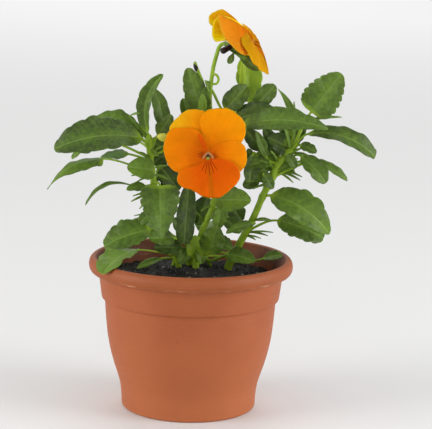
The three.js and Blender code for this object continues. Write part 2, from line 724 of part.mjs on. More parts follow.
// The pot: tapered body, band and rolled lip, with drain holes through its floor
function potSolid() {
  const outside = [[0, 0]];
  for (const share of [0, 1]) {
    const turn = (share * Math.PI) / 2;
    const radius = footRadius - footFillet * (1 - Math.sin(turn));
    outside.push([radius, footFillet * (1 - Math.cos(turn))]);
  }
  outside.push(...bodyCurve, [bandBottom.radius, bandBottom.height], [bandTop.radius, bandTop.height]);
  for (let k = 0; k <= 6; k += 1) {
    const turn = (k / 6) * Math.PI * 1.25 - Math.PI / 2;
    const radius = rimRadius - lipHalfThickness * (1 - Math.cos(turn));
    outside.push([radius, rimHeight - lipHalfHeight * (1 - Math.sin(turn))]);
  }
  const inside = [
    [bandTop.radius - wall, bandTop.height],
    [shoulder.radius - wall, shoulder.height],
    [footRadius - wall, floorThickness],
    [0, floorThickness],
  ];
  const profile = [...outside, ...inside].map(([radius, height]) => new THREE.Vector2(radius, height));
  let solid = toSolid(new THREE.LatheGeometry(profile, potSides).rotateX(Math.PI / 2));
  for (let k = 0; k < drainHoles.count; k += 1) {
    const turn = (2 * Math.PI * (k + 0.5)) / drainHoles.count;
    const { radius, ring, sides } = drainHoles;
    const drill = new THREE.CylinderGeometry(radius, radius, 4 * floorThickness, sides).rotateX(Math.PI / 2);
    solid = solid.subtract(toSolid(drill.translate(ring * Math.cos(turn), ring * Math.sin(turn), 0)));
  }
  return solid;
}

function soilHeight(x, y) {
  const away = Math.hypot(x - crownMound.x, y - crownMound.y);
  const mound = crownMound.height * Math.exp(-((away / crownMound.spread) ** 2));
  const lumps = Math.sin(x / 5 + 1) * Math.cos(y / 4) + 0.6 * Math.sin(x / 2.6 - y / 3.1);
  return soilLevel + mound + soilLump * lumps;
}

// The soil: a plug that fills the pot, with a lumpy top and a plain hole for each stem
function soilSolid() {
  const { rings, sides } = soilGrid;
  const points = [vector([0, 0, soilHeight(0, 0)])];
  const triangles = [];
  const addRing = (radius, height) => {
    for (let k = 0; k < sides; k += 1) {
      const turn = (2 * Math.PI * k) / sides;
      const x = radius * Math.cos(turn);
      const y = radius * Math.sin(turn);
      points.push(vector([x, y, height ?? soilHeight(x, y)]));
    }
  };
  const topRadius = bandTop.radius - wall - 3 * gap;
  for (let i = 1; i <= rings; i += 1) addRing((topRadius * i) / rings);
  addRing(shoulder.radius - wall - 2 * gap, shoulder.height);
  addRing(footRadius - wall - 2 * gap, floorThickness + gap);
  points.push(vector([0, 0, floorThickness + gap]));
  const foot = 1 + (rings + 1) * sides;
  for (let k = 0; k < sides; k += 1) {
    const next = (k + 1) % sides;
    triangles.push(0, 1 + k, 1 + next);
    for (let a = 1; a < foot; a += sides) {
      triangles.push(a + k, a + sides + k, a + sides + next, a + k, a + sides + next, a + next);
    }
    triangles.push(points.length - 1, foot + next, foot + k);
  }
  let solid = toSolid(geometryFrom(points, triangles));
  for (const { route, radii } of Object.values(stems)) {
    const bottom = vector(route[0]);
    bottom.z -= gap;
    const above = vector(route[1]);
    above.add(above.clone().sub(bottom).multiplyScalar(0.3));
    const radius = radii[0] + 1.5 * gap;
    solid = solid.subtract(tube([bottom.toArray(), above.toArray()], [radius, radius], 8, 1));
  }
  return solid;
}

// The closed bud behind the left of the open bloom
function budSolid({ middle, along, length, radius }) {
  const shape = new THREE.SphereGeometry(1, 8, 6).scale(radius, length / 2, radius);
  const lengthwise = new THREE.Vector3(0, 1, 0);
  const turn = new THREE.Quaternion().setFromUnitVectors(lengthwise, vector(along).normalize());
  return toSolid(shape.applyQuaternion(turn).translate(...middle));
}

const planter = new THREE.Group();
planter.name = "potted_pansy_planter";

function addPiece(name, solid, color, roughness) {
  const material = new THREE.MeshStandardMaterial({ color, roughness, metalness: 0 });
  const mesh = new THREE.Mesh(toGeometry(solid), material);
  mesh.name = name;
  planter.add(mesh);
}

addPiece("pot", potSolid(), colours.pot, 0.45);
addPiece("potting_soil", soilSolid(), colours.soil, 0.95);
for (const name of Object.keys(stems)) addPiece(`${name}_leafy_stem`, leafyStem(name), colours.leaf, 0.55);
for (const [name, bloom] of Object.entries(blooms)) {
  addPiece(`${name}_bloom_petals`, bloomSolid(bloom), colours.petals, 0.6);
}
addPiece("left_bud", budSolid(leftBud), colours.bud, 0.6);

export default planter;
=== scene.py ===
# Potted pansy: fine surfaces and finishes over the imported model, for Blender 4.5

from math import atan2, cos, exp, hypot, pi, radians, sin, sqrt, tan

import bpy
from mathutils import Matrix, Vector


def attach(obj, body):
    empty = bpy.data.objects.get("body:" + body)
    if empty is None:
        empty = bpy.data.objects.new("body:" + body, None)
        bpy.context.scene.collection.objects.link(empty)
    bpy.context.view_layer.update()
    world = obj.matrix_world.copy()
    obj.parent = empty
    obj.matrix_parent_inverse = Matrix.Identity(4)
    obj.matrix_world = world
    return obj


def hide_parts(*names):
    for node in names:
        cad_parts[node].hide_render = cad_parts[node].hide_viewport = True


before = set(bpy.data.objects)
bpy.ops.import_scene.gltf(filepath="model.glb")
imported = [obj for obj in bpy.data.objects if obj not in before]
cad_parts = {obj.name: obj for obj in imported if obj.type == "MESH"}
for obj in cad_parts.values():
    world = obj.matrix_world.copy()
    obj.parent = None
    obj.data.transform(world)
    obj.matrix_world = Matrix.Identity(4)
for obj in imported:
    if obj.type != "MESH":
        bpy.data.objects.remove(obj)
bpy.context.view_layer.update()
mm = 0.001


def newObject(name, data):
    made = bpy.data.objects.new(name, data)
    bpy.context.collection.objects.link(made)
    return made


# Camera, light and floor

view = {
    "position": (0, -1.0, 0.3034),
    "pitchDown": 0.186, "yawRight": 0.014, "roll": 0.024,  # radians
    "focalPixels": 1736.7, "framePixels": 432, "sensor": 36,
}


def addCamera():
    yaw, pitch, roll = view["yawRight"], view["pitchDown"], view["roll"]
    ahead = Vector((sin(yaw) * cos(pitch), cos(yaw) * cos(pitch), -sin(pitch)))
    level = ahead.cross((0, 0, 1)).normalized()
    below = ahead.cross(level)
    right = cos(roll) * level - sin(roll) * below
    down = cos(roll) * below + sin(roll) * level
    data = bpy.data.cameras.new("camera")
    data.sensor_width = view["sensor"]
    data.lens = view["sensor"] * view["focalPixels"] / view["framePixels"]
    data.clip_end = 60
    camera = newObject("camera", data)
    camera.matrix_world = Matrix.Translation(view["position"]) @ Matrix((right, -down, -ahead)).transposed().to_4x4()
    bpy.context.scene.camera = camera


addCamera()
print("camera placed")


def linear(hexColour):
    parts = [int(hexColour[i:i + 2], 16) / 255 for i in (1, 3, 5)]
    return [c / 12.92 if c <= 0.04045 else ((c + 0.055) / 1.055) ** 2.4 for c in parts] + [1]


# Sets or links inputs, by name or in order; a node stands for the first output that it uses
def fillInputs(node, inputs):
    for name, value in inputs.items() if isinstance(inputs, dict) else enumerate(inputs):
        if isinstance(value, bpy.types.Node):
            value = next(socket for socket in value.outputs if socket.enabled)
        if isinstance(value, bpy.types.NodeSocket):
            node.id_data.links.new(value, node.inputs[name])
        else:
            node.inputs[name].default_value = value


# Gives the function that adds a node to a tree. A map range has value, from min, from max, to min and to max in
# order; a colour mix has share and two colours at 0, 6 and 7
def nodeAdder(tree):
    def add(kind, inputs=(), operation=None, **settings):
        node = tree.nodes.new(kind if "Node" in kind else "ShaderNode" + kind)
        if operation:
            node.operation = operation
        for name, value in settings.items():
            setattr(node, name, value)
        fillInputs(node, inputs)
        return node

    return add


def newMaterial(name):
    material = bpy.data.materials.new(name)
    material.use_nodes = True
    return material, material.node_tree.nodes["Principled BSDF"], nodeAdder(material.node_tree)


studio = {
    "floor": "#dfdfdf", "floorHalf": 9.0, "world": 0.545,
    # place, aim, size, power and colour of each soft light
    "lights": {
        "leftSoftbox": ((-1.5, -0.5, 0.5), (0, 0, 0.08), 0.9, 18.5, "#fffdf8"),
        "rightSoftbox": ((1.5, -0.45, 0.5), (0, 0, 0.08), 0.9, 20, "#ffffff"),
        "topSoftbox": ((0, -0.2, 1.9), (0, 0, 0.12), 1.5, 2, "#ffffff"),
        "lowFill": ((0, -0.8, 0.03), (0, 0, 0.02), 0.5, 1.4, "#ffffff"),
        "backSoftbox": ((0, 3.8, 3.0), (0, 3.8, 0), 3.2, 86, "#ffffff"),
    },
}


def addStudio():
    scene = bpy.context.scene
    scene.view_settings.view_transform = "Standard"
    scene.world = bpy.data.worlds.new("studio")
    scene.world.use_nodes = True
    fillInputs(scene.world.node_tree.nodes["Background"], {"Color": linear("#ffffff"), "Strength": studio["world"]})
    for name, (place, aim, size, power, colour) in studio["lights"].items():
        data = bpy.data.lights.new(name, "AREA")
        data.size = size
        data.energy = power
        data.color = linear(colour)[:3]
        light = newObject(name, data)
        light.location = place
        light.visible_camera = False
        light.rotation_euler = (Vector(aim) - Vector(place)).to_track_quat("-Z", "Y").to_euler()
    half = studio["floorHalf"]
    mesh = bpy.data.meshes.new("floor")
    mesh.from_pydata([(-half, -half, 0), (half, -half, 0), (half, half, 0), (-half, half, 0)], [], [(0, 1, 2, 3)])
    material, shader, _ = newMaterial("matte paper backdrop")
    fillInputs(shader, {"Base Color": linear(studio["floor"]), "Roughness": 0.9})
    mesh.materials.append(material)
    floor = newObject("floor", mesh)


addStudio()
print("studio ready")


# Mesh helpers, all in mm; a shell is one or more closed skins of the same piece

def newShell():
    return {"points": [], "faces": [], "uv": [], "skin": [], "below": []}


def addPoint(shell, point, uv, skin, below=0):
    for name, value in (("points", point), ("uv", uv), ("skin", skin), ("below", below)):
        shell[name].append(value)


# Faces between rings of points that lie in the shell from first on
def joinRings(shell, first, around, rings):
    for a in range(first, first + (rings - 1) * around, around):
        for k in range(around):
            n = (k + 1) % around
            shell["faces"].append((a + k, a + n, a + around + n, a + around + k))


# Joins rings of (point, uv, skin) into one closed skin
def addLoft(shell, rings):
    first, around = len(shell["points"]), len(rings[0])
    for ring in rings:
        for spot in ring:
            addPoint(shell, *spot)
    joinRings(shell, first, around, len(rings))
    shell["faces"].append(tuple(first + k for k in reversed(range(around))))
    last = first + (len(rings) - 1) * around
    shell["faces"].append(tuple(last + k for k in range(around)))
    return shell


# A ring of spots: place gives point and uv at each turn
def ringOf(sides, skin, place):
    return [(*place(2 * pi * k / sides), skin) for k in range(sides)]


bare = (0, 0, 0, 0)


# Turns an outline round an upright axis; a height can depend on x and y
def addTurned(shell, outline, sides, axis=(0, 0)):
    def place(turn):
        x, y = axis[0] + radius * cos(turn), axis[1] + radius * sin(turn)
        return Vector((x, y, height(x, y) if callable(height) else height)), (turn, radius / 10)

    rings = []
    for radius, height in outline:
        rings.append(ringOf(sides, bare, place))
    return addLoft(shell, rings)


def makePiece(name, shell, *materials):
    mesh = bpy.data.meshes.new(name)
    mesh.from_pydata([point * mm for point in shell["points"]], [], shell["faces"])
    uv = mesh.uv_layers.new(name="surface")
    uv.data.foreach_set("uv", [c for loop in mesh.loops for c in shell["uv"][loop.vertex_index]])
    skin = mesh.attributes.new("skin", "FLOAT_COLOR", "POINT")
    skin.data.foreach_set("color", [c for values in shell["skin"] for c in values])
    below = mesh.attributes.new("below", "FLOAT", "POINT")
    below.data.foreach_set("value", shell["below"])
    mesh.shade_smooth()
    for material in materials:
        mesh.materials.append(material)
    return newObject(name, mesh)


def lengthOf(way):
    return sum((q - p).length for p, q in zip(way, way[1:]))


# The (point, direction) at even steps along a way of many points
def evenSteps(way, count):
    total = lengthOf(way)
    places, walked, i = [], 0, 0
    for k in range(count + 1):
        goal = total * k / count
        while i < len(way) - 2 and walked + (way[i + 1] - way[i]).length < goal:
            walked += (way[i + 1] - way[i]).length
            i += 1
        part = way[i + 1] - way[i]
        places.append((way[i] + part * min(1, (goal - walked) / max(part.length, 1e-6)), part.normalized()))
    return places


# A smooth way through points, as (point, direction) at even steps
def smoothRoute(route, step):
    knots = [Vector(point) for point in route]
    ends = [2 * knots[0] - knots[1], *knots, 2 * knots[-1] - knots[-2]]
    dense = []
    for a, b, c, d in zip(ends, ends[1:], ends[2:], ends[3:]):
        before, own, after = ((q - p).length ** 0.5 for p, q in ((a, b), (b, c), (c, d)))
        leave = ((b - a) / before - (c - a) / (before + own) + (c - b) / own) * own
        arrive = ((c - b) / own - (d - b) / (own + after) + (d - c) / after) * own
        for k in range(16):
            x = k / 16
            dense.append((2 * x ** 3 - 3 * x * x + 1) * b + (x ** 3 - 2 * x * x + x) * leave
                         + (3 * x * x - 2 * x ** 3) * c + (x ** 3 - x * x) * arrive)
    dense.append(knots[-1])
    return evenSteps(dense, max(2, round(lengthOf(dense) / step)))


# the domed head goes in steps forward and shares of the radius; swell and knot are a joint's height and reach
tube = {"ridge": 0.05, "swell": 0.3, "knot": 1.6, "dome": [(0, 1), (0.5, 0.87), (0.87, 0.5), (0.99, 0.12)]}


# A round stem; knots are places where it swells
def addTube(shell, route, radii, skin, sides=12, step=2.0, knots=()):
    def place(turn):
        out = radius * share * (1 + tube["ridge"] * cos(3 * turn))
        point = middle + ahead * forth * radius + aside * out * cos(turn) + upward * out * sin(turn)
        return point, (turn, walked / 10)

    places = smoothRoute(route, step)
    last = len(places) - 1
    aside = Vector((0.31, -0.87, 0.39))
    rings, walked = [], 0
    for i, (middle, ahead) in enumerate(places):
        aside = (aside - ahead * aside.dot(ahead)).normalized()
        upward = ahead.cross(aside)
        radius = radii[0] + (radii[1] - radii[0]) * i / last
        radius += tube["swell"] * sum(exp(-((middle - knot).length / tube["knot"]) ** 2) for knot in knots)
        walked += (middle - places[i - 1][0]).length if i else 0
        for forth, share in tube["dome"] if i == last else tube["dome"][:1]:
            rings.append(ringOf(sides, skin, place))
    addLoft(shell, rings)


# The pot: a turned outline, then drain holes cut through its floor

pot = {
    "sides": 144,
    "rimRadius": 60, "rimHeight": 89.8, "lipHalfThickness": 2.9, "lipHalfHeight": 4.4,
    "footRadius": 39.7, "footFillet": 1.8,
    "body": [(40.1, 8), (40.9, 14), (42.6, 20), (44.9, 27), (47, 35), (48.5, 43), (49.4, 51), (50, 58), (50.4, 64.6)],
    # the ledge under the band with its softened edge, and the band's start under the lip
    "ledge": [(50.55, 65.2), (50.9, 65.55), (51.8, 65.75), (52.25, 66.0)],
    "bandBottom": (52.4, 66.5), "bandTop": (54.1, 79.6), "underLip": [(54.2, 80.3), (54.6, 80.9), (55.4, 81.15)],
    "inside": [(55.0, 88.5), (53.6, 86.3), (52.4, 83.4), (51.9, 79.6), (50.6, 70), (49.2, 58), (47.4, 46), (45.4, 38),
               (42.4, 27), (39.8, 16), (38.2, 8), (37.3, 4.2), (36.2, 3)],
    "drainHoles": 6, "drainRadius": 3.5, "drainRing": 25, "drainSides": 40,
}


def potOutline():
    foot, fillet = pot["footRadius"], pot["footFillet"]
    outline = [(12, 0), (30, 0)]
    for k in range(7):
        turn = pi / 2 * k / 6
        outline.append((foot - fillet * (1 - sin(turn)), fillet * (1 - cos(turn))))
    body = smoothRoute([(foot, 0, fillet), *((r, 0, z) for r, z in pot["body"])], 1.6)
    outline += [(point.x, point.z) for point, _ in body[1:]] + pot["ledge"]
    (lowRadius, low), (highRadius, high) = pot["bandBottom"], pot["bandTop"]
    outline += [(lowRadius + (highRadius - lowRadius) * k / 8, low + (high - low) * k / 8) for k in range(9)]
    outline += pot["underLip"]
    for k in range(2, 27):
        turn = pi * 1.25 * k / 26 - pi / 2
        radius = pot["rimRadius"] - pot["lipHalfThickness"] * (1 - cos(turn))
        outline.append((radius, pot["rimHeight"] - pot["lipHalfHeight"] * (1 - sin(turn))))
    inside = smoothRoute([(r, 0, z) for r, z in pot["inside"]], 2.2)
    return outline + [(point.x, point.z) for point, _ in inside[1:]] + [(20, 3)]


# Bakes a piece's modifiers into its mesh
def applyModifiers(piece):
    bpy.context.view_layer.update()
    evaluated = piece.evaluated_get(bpy.context.evaluated_depsgraph_get())
    mesh = bpy.data.meshes.new_from_object(evaluated)
    piece.modifiers.clear()
    piece.data = mesh


def makePot(material):
    piece = makePiece("moulded_pot", addTurned(newShell(), potOutline(), pot["sides"]), material)
    drills = newShell()
    for k in range(pot["drainHoles"]):
        turn = 2 * pi * (k + 0.5) / pot["drainHoles"]
        addTurned(drills, [(pot["drainRadius"], -4), (pot["drainRadius"], 7)], pot["drainSides"],
                  (pot["drainRing"] * cos(turn), pot["drainRing"] * sin(turn)))
    tool = makePiece("drills", drills)
    piece.modifiers.new("drain holes", "BOOLEAN").object = tool
    applyModifiers(piece)
    bpy.data.objects.remove(tool)
    return piece


# The soil: a lumpy plug with crumbs and fibres scattered on it

soil = {
    "sides": 150, "level": 77.6, "lump": 0.7, "mound": (2, 14, 3.2, 16),
    "topStart": 0.4, "topRadius": 51.0, "topRings": 62,
    "below": [(49.8, 70), (48.6, 58), (46.8, 46), (44.7, 37.6), (41.5, 27), (36.9, 4), (35, 3.3)],
    "crumbDensity": 240000, "crumbs": (0.3, 1.25),  # per square metre, radius in mm
    "crumbLumps": 10 / 9, "crumbPush": 1.6,  # mm
    "fibreDensity": 13000, "fibres": (2.5, 7.0),  # length in mm
    "seed": 7,
}


# Lumps of a few mm on a level top, and a mound round the stems
def soilHeight(x, y):
    moundX, moundY, high, spread = soil["mound"]
    away = hypot(x - moundX, y - moundY)
    lumps = sin(x / 5 + 1) * cos(y / 4) + 0.6 * sin(x / 2.6 - y / 3.1)
    fine = 0.35 * sin(x * 1.3 + 2 * sin(y * 0.9)) * sin(y * 1.7 + sin(x * 1.1))
    return soil["level"] + high * exp(-((away / spread) ** 2)) + soil["lump"] * (lumps + fine)


def makeSoil(material):
    start, count = soil["topStart"], soil["topRings"]
    top = [(start + (soil["topRadius"] - start) * k / count, soilHeight) for k in range(count + 1)]
    return makePiece("soil_body", addTurned(newShell(), reversed(top + soil["below"]), soil["sides"]), material)


# Geometry Nodes: scatters one small form over the top of a surface
def scatterTree(name, material, addForm):
    tree = bpy.data.node_groups.new(name, "GeometryNodeTree")
    tree.interface.new_socket("Geometry", in_out="OUTPUT", socket_type="NodeSocketGeometry")
    for label in ("Geometry", "Density", "Smallest", "Largest", "Tilt", "Upward", "Seed"):
        kind = {"Geometry": "Geometry", "Seed": "Int"}.get(label, "Float")
        tree.interface.new_socket(label, in_out="INPUT", socket_type="NodeSocket" + kind)
    add = nodeAdder(tree)
    given = add("NodeGroupInput").outputs
    rise = add("SeparateXYZ", [add("GeometryNodeInputNormal")]).outputs[2]
    facing = add("FunctionNodeCompare", [rise, given["Upward"]], "GREATER_THAN")
    scatter = add("GeometryNodeDistributePointsOnFaces", {
        "Mesh": given["Geometry"], "Selection": facing, "Density": given["Density"], "Seed": given["Seed"]})
    back = add("Math", [given["Tilt"], -1], "MULTIPLY")
    least = add("CombineXYZ", [back, back, -3.14])
    most = add("CombineXYZ", [given["Tilt"], given["Tilt"], 3.14])
    tilt = add("FunctionNodeRandomValue", {0: least, 1: most, "Seed": given["Seed"]}, data_type="FLOAT_VECTOR")
    turned = add("FunctionNodeRotateRotation", [scatter.outputs["Rotation"], tilt], rotation_space="LOCAL")
    chance = add("FunctionNodeRandomValue", {"Seed": 2})
    small = add("Math", [chance, 2.2], "POWER")
    size = add("MapRange", [small, 0, 1, given["Smallest"], given["Largest"]])
    placed = add("GeometryNodeInstanceOnPoints", {
        "Points": scatter, "Instance": addForm(add), "Rotation": turned, "Scale": size})
    shade = add("FunctionNodeRandomValue", {"Seed": 3})
    stored = add("GeometryNodeStoreNamedAttribute", {"Geometry": placed, "Name": "grain", "Value": shade},
                 data_type="FLOAT", domain="INSTANCE")
    real = add("GeometryNodeRealizeInstances", {"Geometry": stored})
    done = add("GeometryNodeSetMaterial", {"Geometry": real, "Material": material})
    add("NodeGroupOutput", {"Geometry": done})
    return tree


# Runs a scatter over a surface and keeps the result as a plain mesh
def scatterOver(name, surface, tree, sizes, **values):
    values["Smallest"], values["Largest"] = sizes
    piece = newObject(name, surface.data.copy())
    modifier = piece.modifiers.new(name, "NODES")
    modifier.node_group = tree
    for item in tree.interface.items_tree:
        if item.in_out == "INPUT" and item.name in values:
            modifier[item.identifier] = values[item.name]
    applyModifiers(piece)
    return piece


def crumbForm(add):
    ball = add("GeometryNodeMeshIcoSphere", {"Radius": mm, "Subdivisions": 2})
    rough = add("TexNoise", {"Vector": add("GeometryNodeInputPosition"), "Scale": 1000 / soil["crumbLumps"]})
    centred = add("VectorMath", [rough.outputs["Color"], (0.5, 0.5, 0.5)], "SUBTRACT")
    push = add("VectorMath", {0: centred, "Scale": soil["crumbPush"] * mm}, "SCALE")
    return add("GeometryNodeSetPosition", {"Geometry": ball, "Offset": push})


# A bent strand of one mm, so that its scale is its length in mm
def addStrand(add, points, steps, sides, radius):
    labels = ("Start", "Start Handle", "End Handle", "End")
    curve = add("GeometryNodeCurvePrimitiveBezierSegment", {
        "Resolution": steps, **{label: tuple(c * mm for c in point) for label, point in zip(labels, points)}})
    ring = add("GeometryNodeCurvePrimitiveCircle", {"Resolution": sides, "Radius": radius * mm})
    return add("GeometryNodeCurveToMesh", {"Curve": curve, "Profile Curve": ring, "Fill Caps": True})


def fibreForm(add):
    return addStrand(add, [(-0.5, 0, 0), (-0.2, 0.12, 0.05), (0.2, -0.1, 0.05), (0.5, 0, 0)], 6, 4, 0.028)


# A beard hair, standing on the surface
def hairForm(add):
    return addStrand(add, [(0, 0, -0.1), (0, 0, 0.3), (0.05, 0, 0.7), (0.18, 0, 0.95)], 4, 5, 0.07)


# Injection-moulded polypropylene with terracotta pigment: satin, softly mottled where the melt flowed,
# with a fine orange-peel skin, rubbed edges and a few pinhead specks
polypropylene = {
    "base": "#9e522b", "warm": "#a3572f", "deep": "#974d28", "rubbed": "#b4693f", "speck": "#4d2c1d",
    # on the next line, the middle colour tints the grain and is also a painted shade on the band and lip
    "paintedInnerShade": "#4a2814", "grainAndShade": "#86461f", "nicked": "#c58a68",
    # the first colour on the line above is a painted shade for the inner wall, and the 16 mm noise on the next line
    # makes it patchy
    "mottle": 25, "grain": 1.1, "peel": 0.8, "speckle": 6, "scuff": 14, "lipPatch": 9, "innerShadePatch": 16,  # mm
    # on the next line, the second span of heights is a painted light bounced from the floor, lightening the pot
    # towards the foot
    "footEdge": (0.8, 3), "paintedBounceLight": (10, 58), "band": (62, 68), "lip": (79, 83),  # heights in mm
    "lipEdge": 81.8, "nickHeight": 0.9, "flatter": 9, "roughness": (0.5, 0.64),
}


def mouldedPolypropylene():
    material, shader, add = newMaterial("moulded terracotta polypropylene")
    place = add("TexCoord").outputs["Object"]
    # scuffs and stains lie level
    flat = add("Mapping", {"Vector": place, "Scale": (1, 1, polypropylene["flatter"])})
    mottle, grain, innerShadePatch, peel, scuff, lipPatch = (
        add("TexNoise", {"Vector": vector, "Scale": 1000 / polypropylene[name], "Detail": detail, "Roughness": rough})
        for name, vector, detail, rough in (
            ("mottle", place, 4, 0.5), ("grain", place, 2, 0.5), ("innerShadePatch", place, 4, 0.5), ("peel", place, 2, 0.5),
            ("scuff", flat, 6, 0.7), ("lipPatch", flat, 5, 0.65)))
    height = add("SeparateXYZ", [place]).outputs[2]
    footEdge, paintedBounceLight, band, lip = (
        add("MapRange", [height, *(h * mm for h in polypropylene[name]), *share])
        for name, share in (("footEdge", (0.5, 0)), ("paintedBounceLight", (0.42, 0)), ("band", (0, 0.22)), ("lip", (0, 1))))
    share = add("MapRange", [mottle, 0.35, 0.65])
    colour = add("Mix", {0: share, 6: linear(polypropylene["deep"]), 7: linear(polypropylene["warm"])},
                 data_type="RGBA")
    grained = add("MapRange", [grain, 0.38, 0.62, 0, 0.16])
    scuffed = add("MapRange", [scuff, 0.62, 0.8, 0, 0.2])
    rubbed = add("Math", [scuffed, footEdge], "MAXIMUM")
    # one cell in seven has a speck
    speckle = add("TexVoronoi", {"Vector": place, "Scale": 1000 / polypropylene["speckle"]})
    dot = add("MapRange", [speckle, 0.05, 0.1, 0.7, 0])
    chosen = add("SeparateColor", [speckle.outputs["Color"]])
    few = add("Math", [chosen, 0.86], "GREATER_THAN")
    speck = add("Math", [dot, few], "MULTIPLY")
    # painted shade darkens the band and lip in patches, and the lip's lower edge is nicked
    lipAndBand = add("Math", [lip, band], "MAXIMUM")
    # patches of painted shade on the band and lip
    paintedLipShade = add("MapRange", [lipPatch, 0.4, 0.62, 0.36, 0.74])
    paintedLipShade = add("Math", [paintedLipShade, lipAndBand], "MULTIPLY")
    atEdge = add("Math", [height, polypropylene["lipEdge"] * mm, polypropylene["nickHeight"] * mm], "COMPARE")
    nicked = add("MapRange", [lipPatch, 0.55, 0.62, 0, 0.7])
    nicked = add("Math", [nicked, atEdge], "MULTIPLY")
    # painted shade darkens the wall inside, which faces the axis, in patches
    facing = add("NewGeometry").outputs["Normal"]
    around = add("VectorMath", [place, (1, 1, 0)], "MULTIPLY")
    around = add("VectorMath", [around], "NORMALIZE")
    inward = add("VectorMath", [facing, around], "DOT_PRODUCT")
    amount = add("MapRange", [innerShadePatch, 0.3, 0.62, 0.25, 0.9])
    paintedInnerShade = add("MapRange", [inward, -0.35, -0.75])
    paintedInnerShade = add("Math", [paintedInnerShade, amount], "MULTIPLY")
    # layer over layer; painted light from the floor lightens it towards the foot, in the rubbed colour
    for share, name in ((0.55, "base"), (grained, "grainAndShade"), (rubbed, "rubbed"), (speck, "speck"),
                        (paintedBounceLight, "rubbed"), (paintedLipShade, "grainAndShade"), (nicked, "nicked"), (paintedInnerShade, "paintedInnerShade")):
        colour = add("Mix", {0: share, 6: colour, 7: linear(polypropylene[name])}, data_type="RGBA")
    gloss = add("MapRange", [scuff, 0.3, 0.7, *polypropylene["roughness"]])
    bump = add("Bump", {"Height": peel, "Strength": 0.25, "Distance": 0.12 * mm})
    fillInputs(shader, {"Base Color": colour, "Roughness": gloss, "IOR": 1.49, "Specular IOR Level": 0.32,
                        "Normal": bump})
    return material


# Damp peat compost: near-black crumbs, browner where they have dried, with a matt broken surface
peat = {"wet": "#17171a", "dry": "#38352f", "pale": "#6c6a5e", "roughness": 0.93, "grain": 0.9, "patch": 9}  # mm


def peatCompost():
    material, shader, add = newMaterial("damp peat compost")
    place = add("TexCoord").outputs["Object"]
    patch = add("TexNoise", {"Vector": place, "Scale": 1000 / peat["patch"], "Detail": 3})
    grain = add("TexNoise", {"Vector": place, "Scale": 1000 / peat["grain"], "Detail": 5, "Roughness": 0.65})
    own = add("Attribute", attribute_name="grain").outputs["Fac"]
    total = add("Math", [patch, grain], "ADD")
    total = add("Math", [own, 0.45, total], "MULTIPLY_ADD")
    dried = add("MapRange", [total, 0.85, 1.45])
    bright = add("Math", [own, 0.93], "GREATER_THAN")
    colour = linear(peat["wet"])
    for share, name in ((dried, "dry"), (bright, "pale")):
        colour = add("Mix", {0: share, 6: colour, 7: linear(peat[name])}, data_type="RGBA")
    bump = add("Bump", {"Height": grain, "Strength": 0.8, "Distance": 0.7 * mm})
    fillInputs(shader, {"Base Color": colour, "Roughness": peat["roughness"], "Normal": bump})
    return material


# Coir and bark strands in the compost: dry, from dark to pale brown
strand = {"dark": "#4a3b2b", "pale": "#85725a", "roughness": 0.85}


def coirFibre():
    material, shader, add = newMaterial("coir fibre")
    own = add("Attribute", attribute_name="grain").outputs["Fac"]
    colour = add("Mix", {0: own, 6: linear(strand["dark"]), 7: linear(strand["pale"])}, data_type="RGBA")
    fillInputs(shader, {"Base Color": colour, "Roughness": strand["roughness"]})
    return material


# Living leaf and stem tissue: waxy on top with sunken pale veins, matt and greyer beneath, juicy green stalks
leafTissue = {
    "dark": "#304118", "bright": "#678724", "underside": "#74905a", "vein": "#87a055",
    "stalk": "#9ab52a", "stalkBase": "#6f9322", "darkTip": "#1d1418",
    "patch": 8, "blotch": 2.2, "veinWidth": 0.3, "midribWidth": 0.42, "cell": 1.3,  # mm
    "roughness": (0.44, 0.6),
}


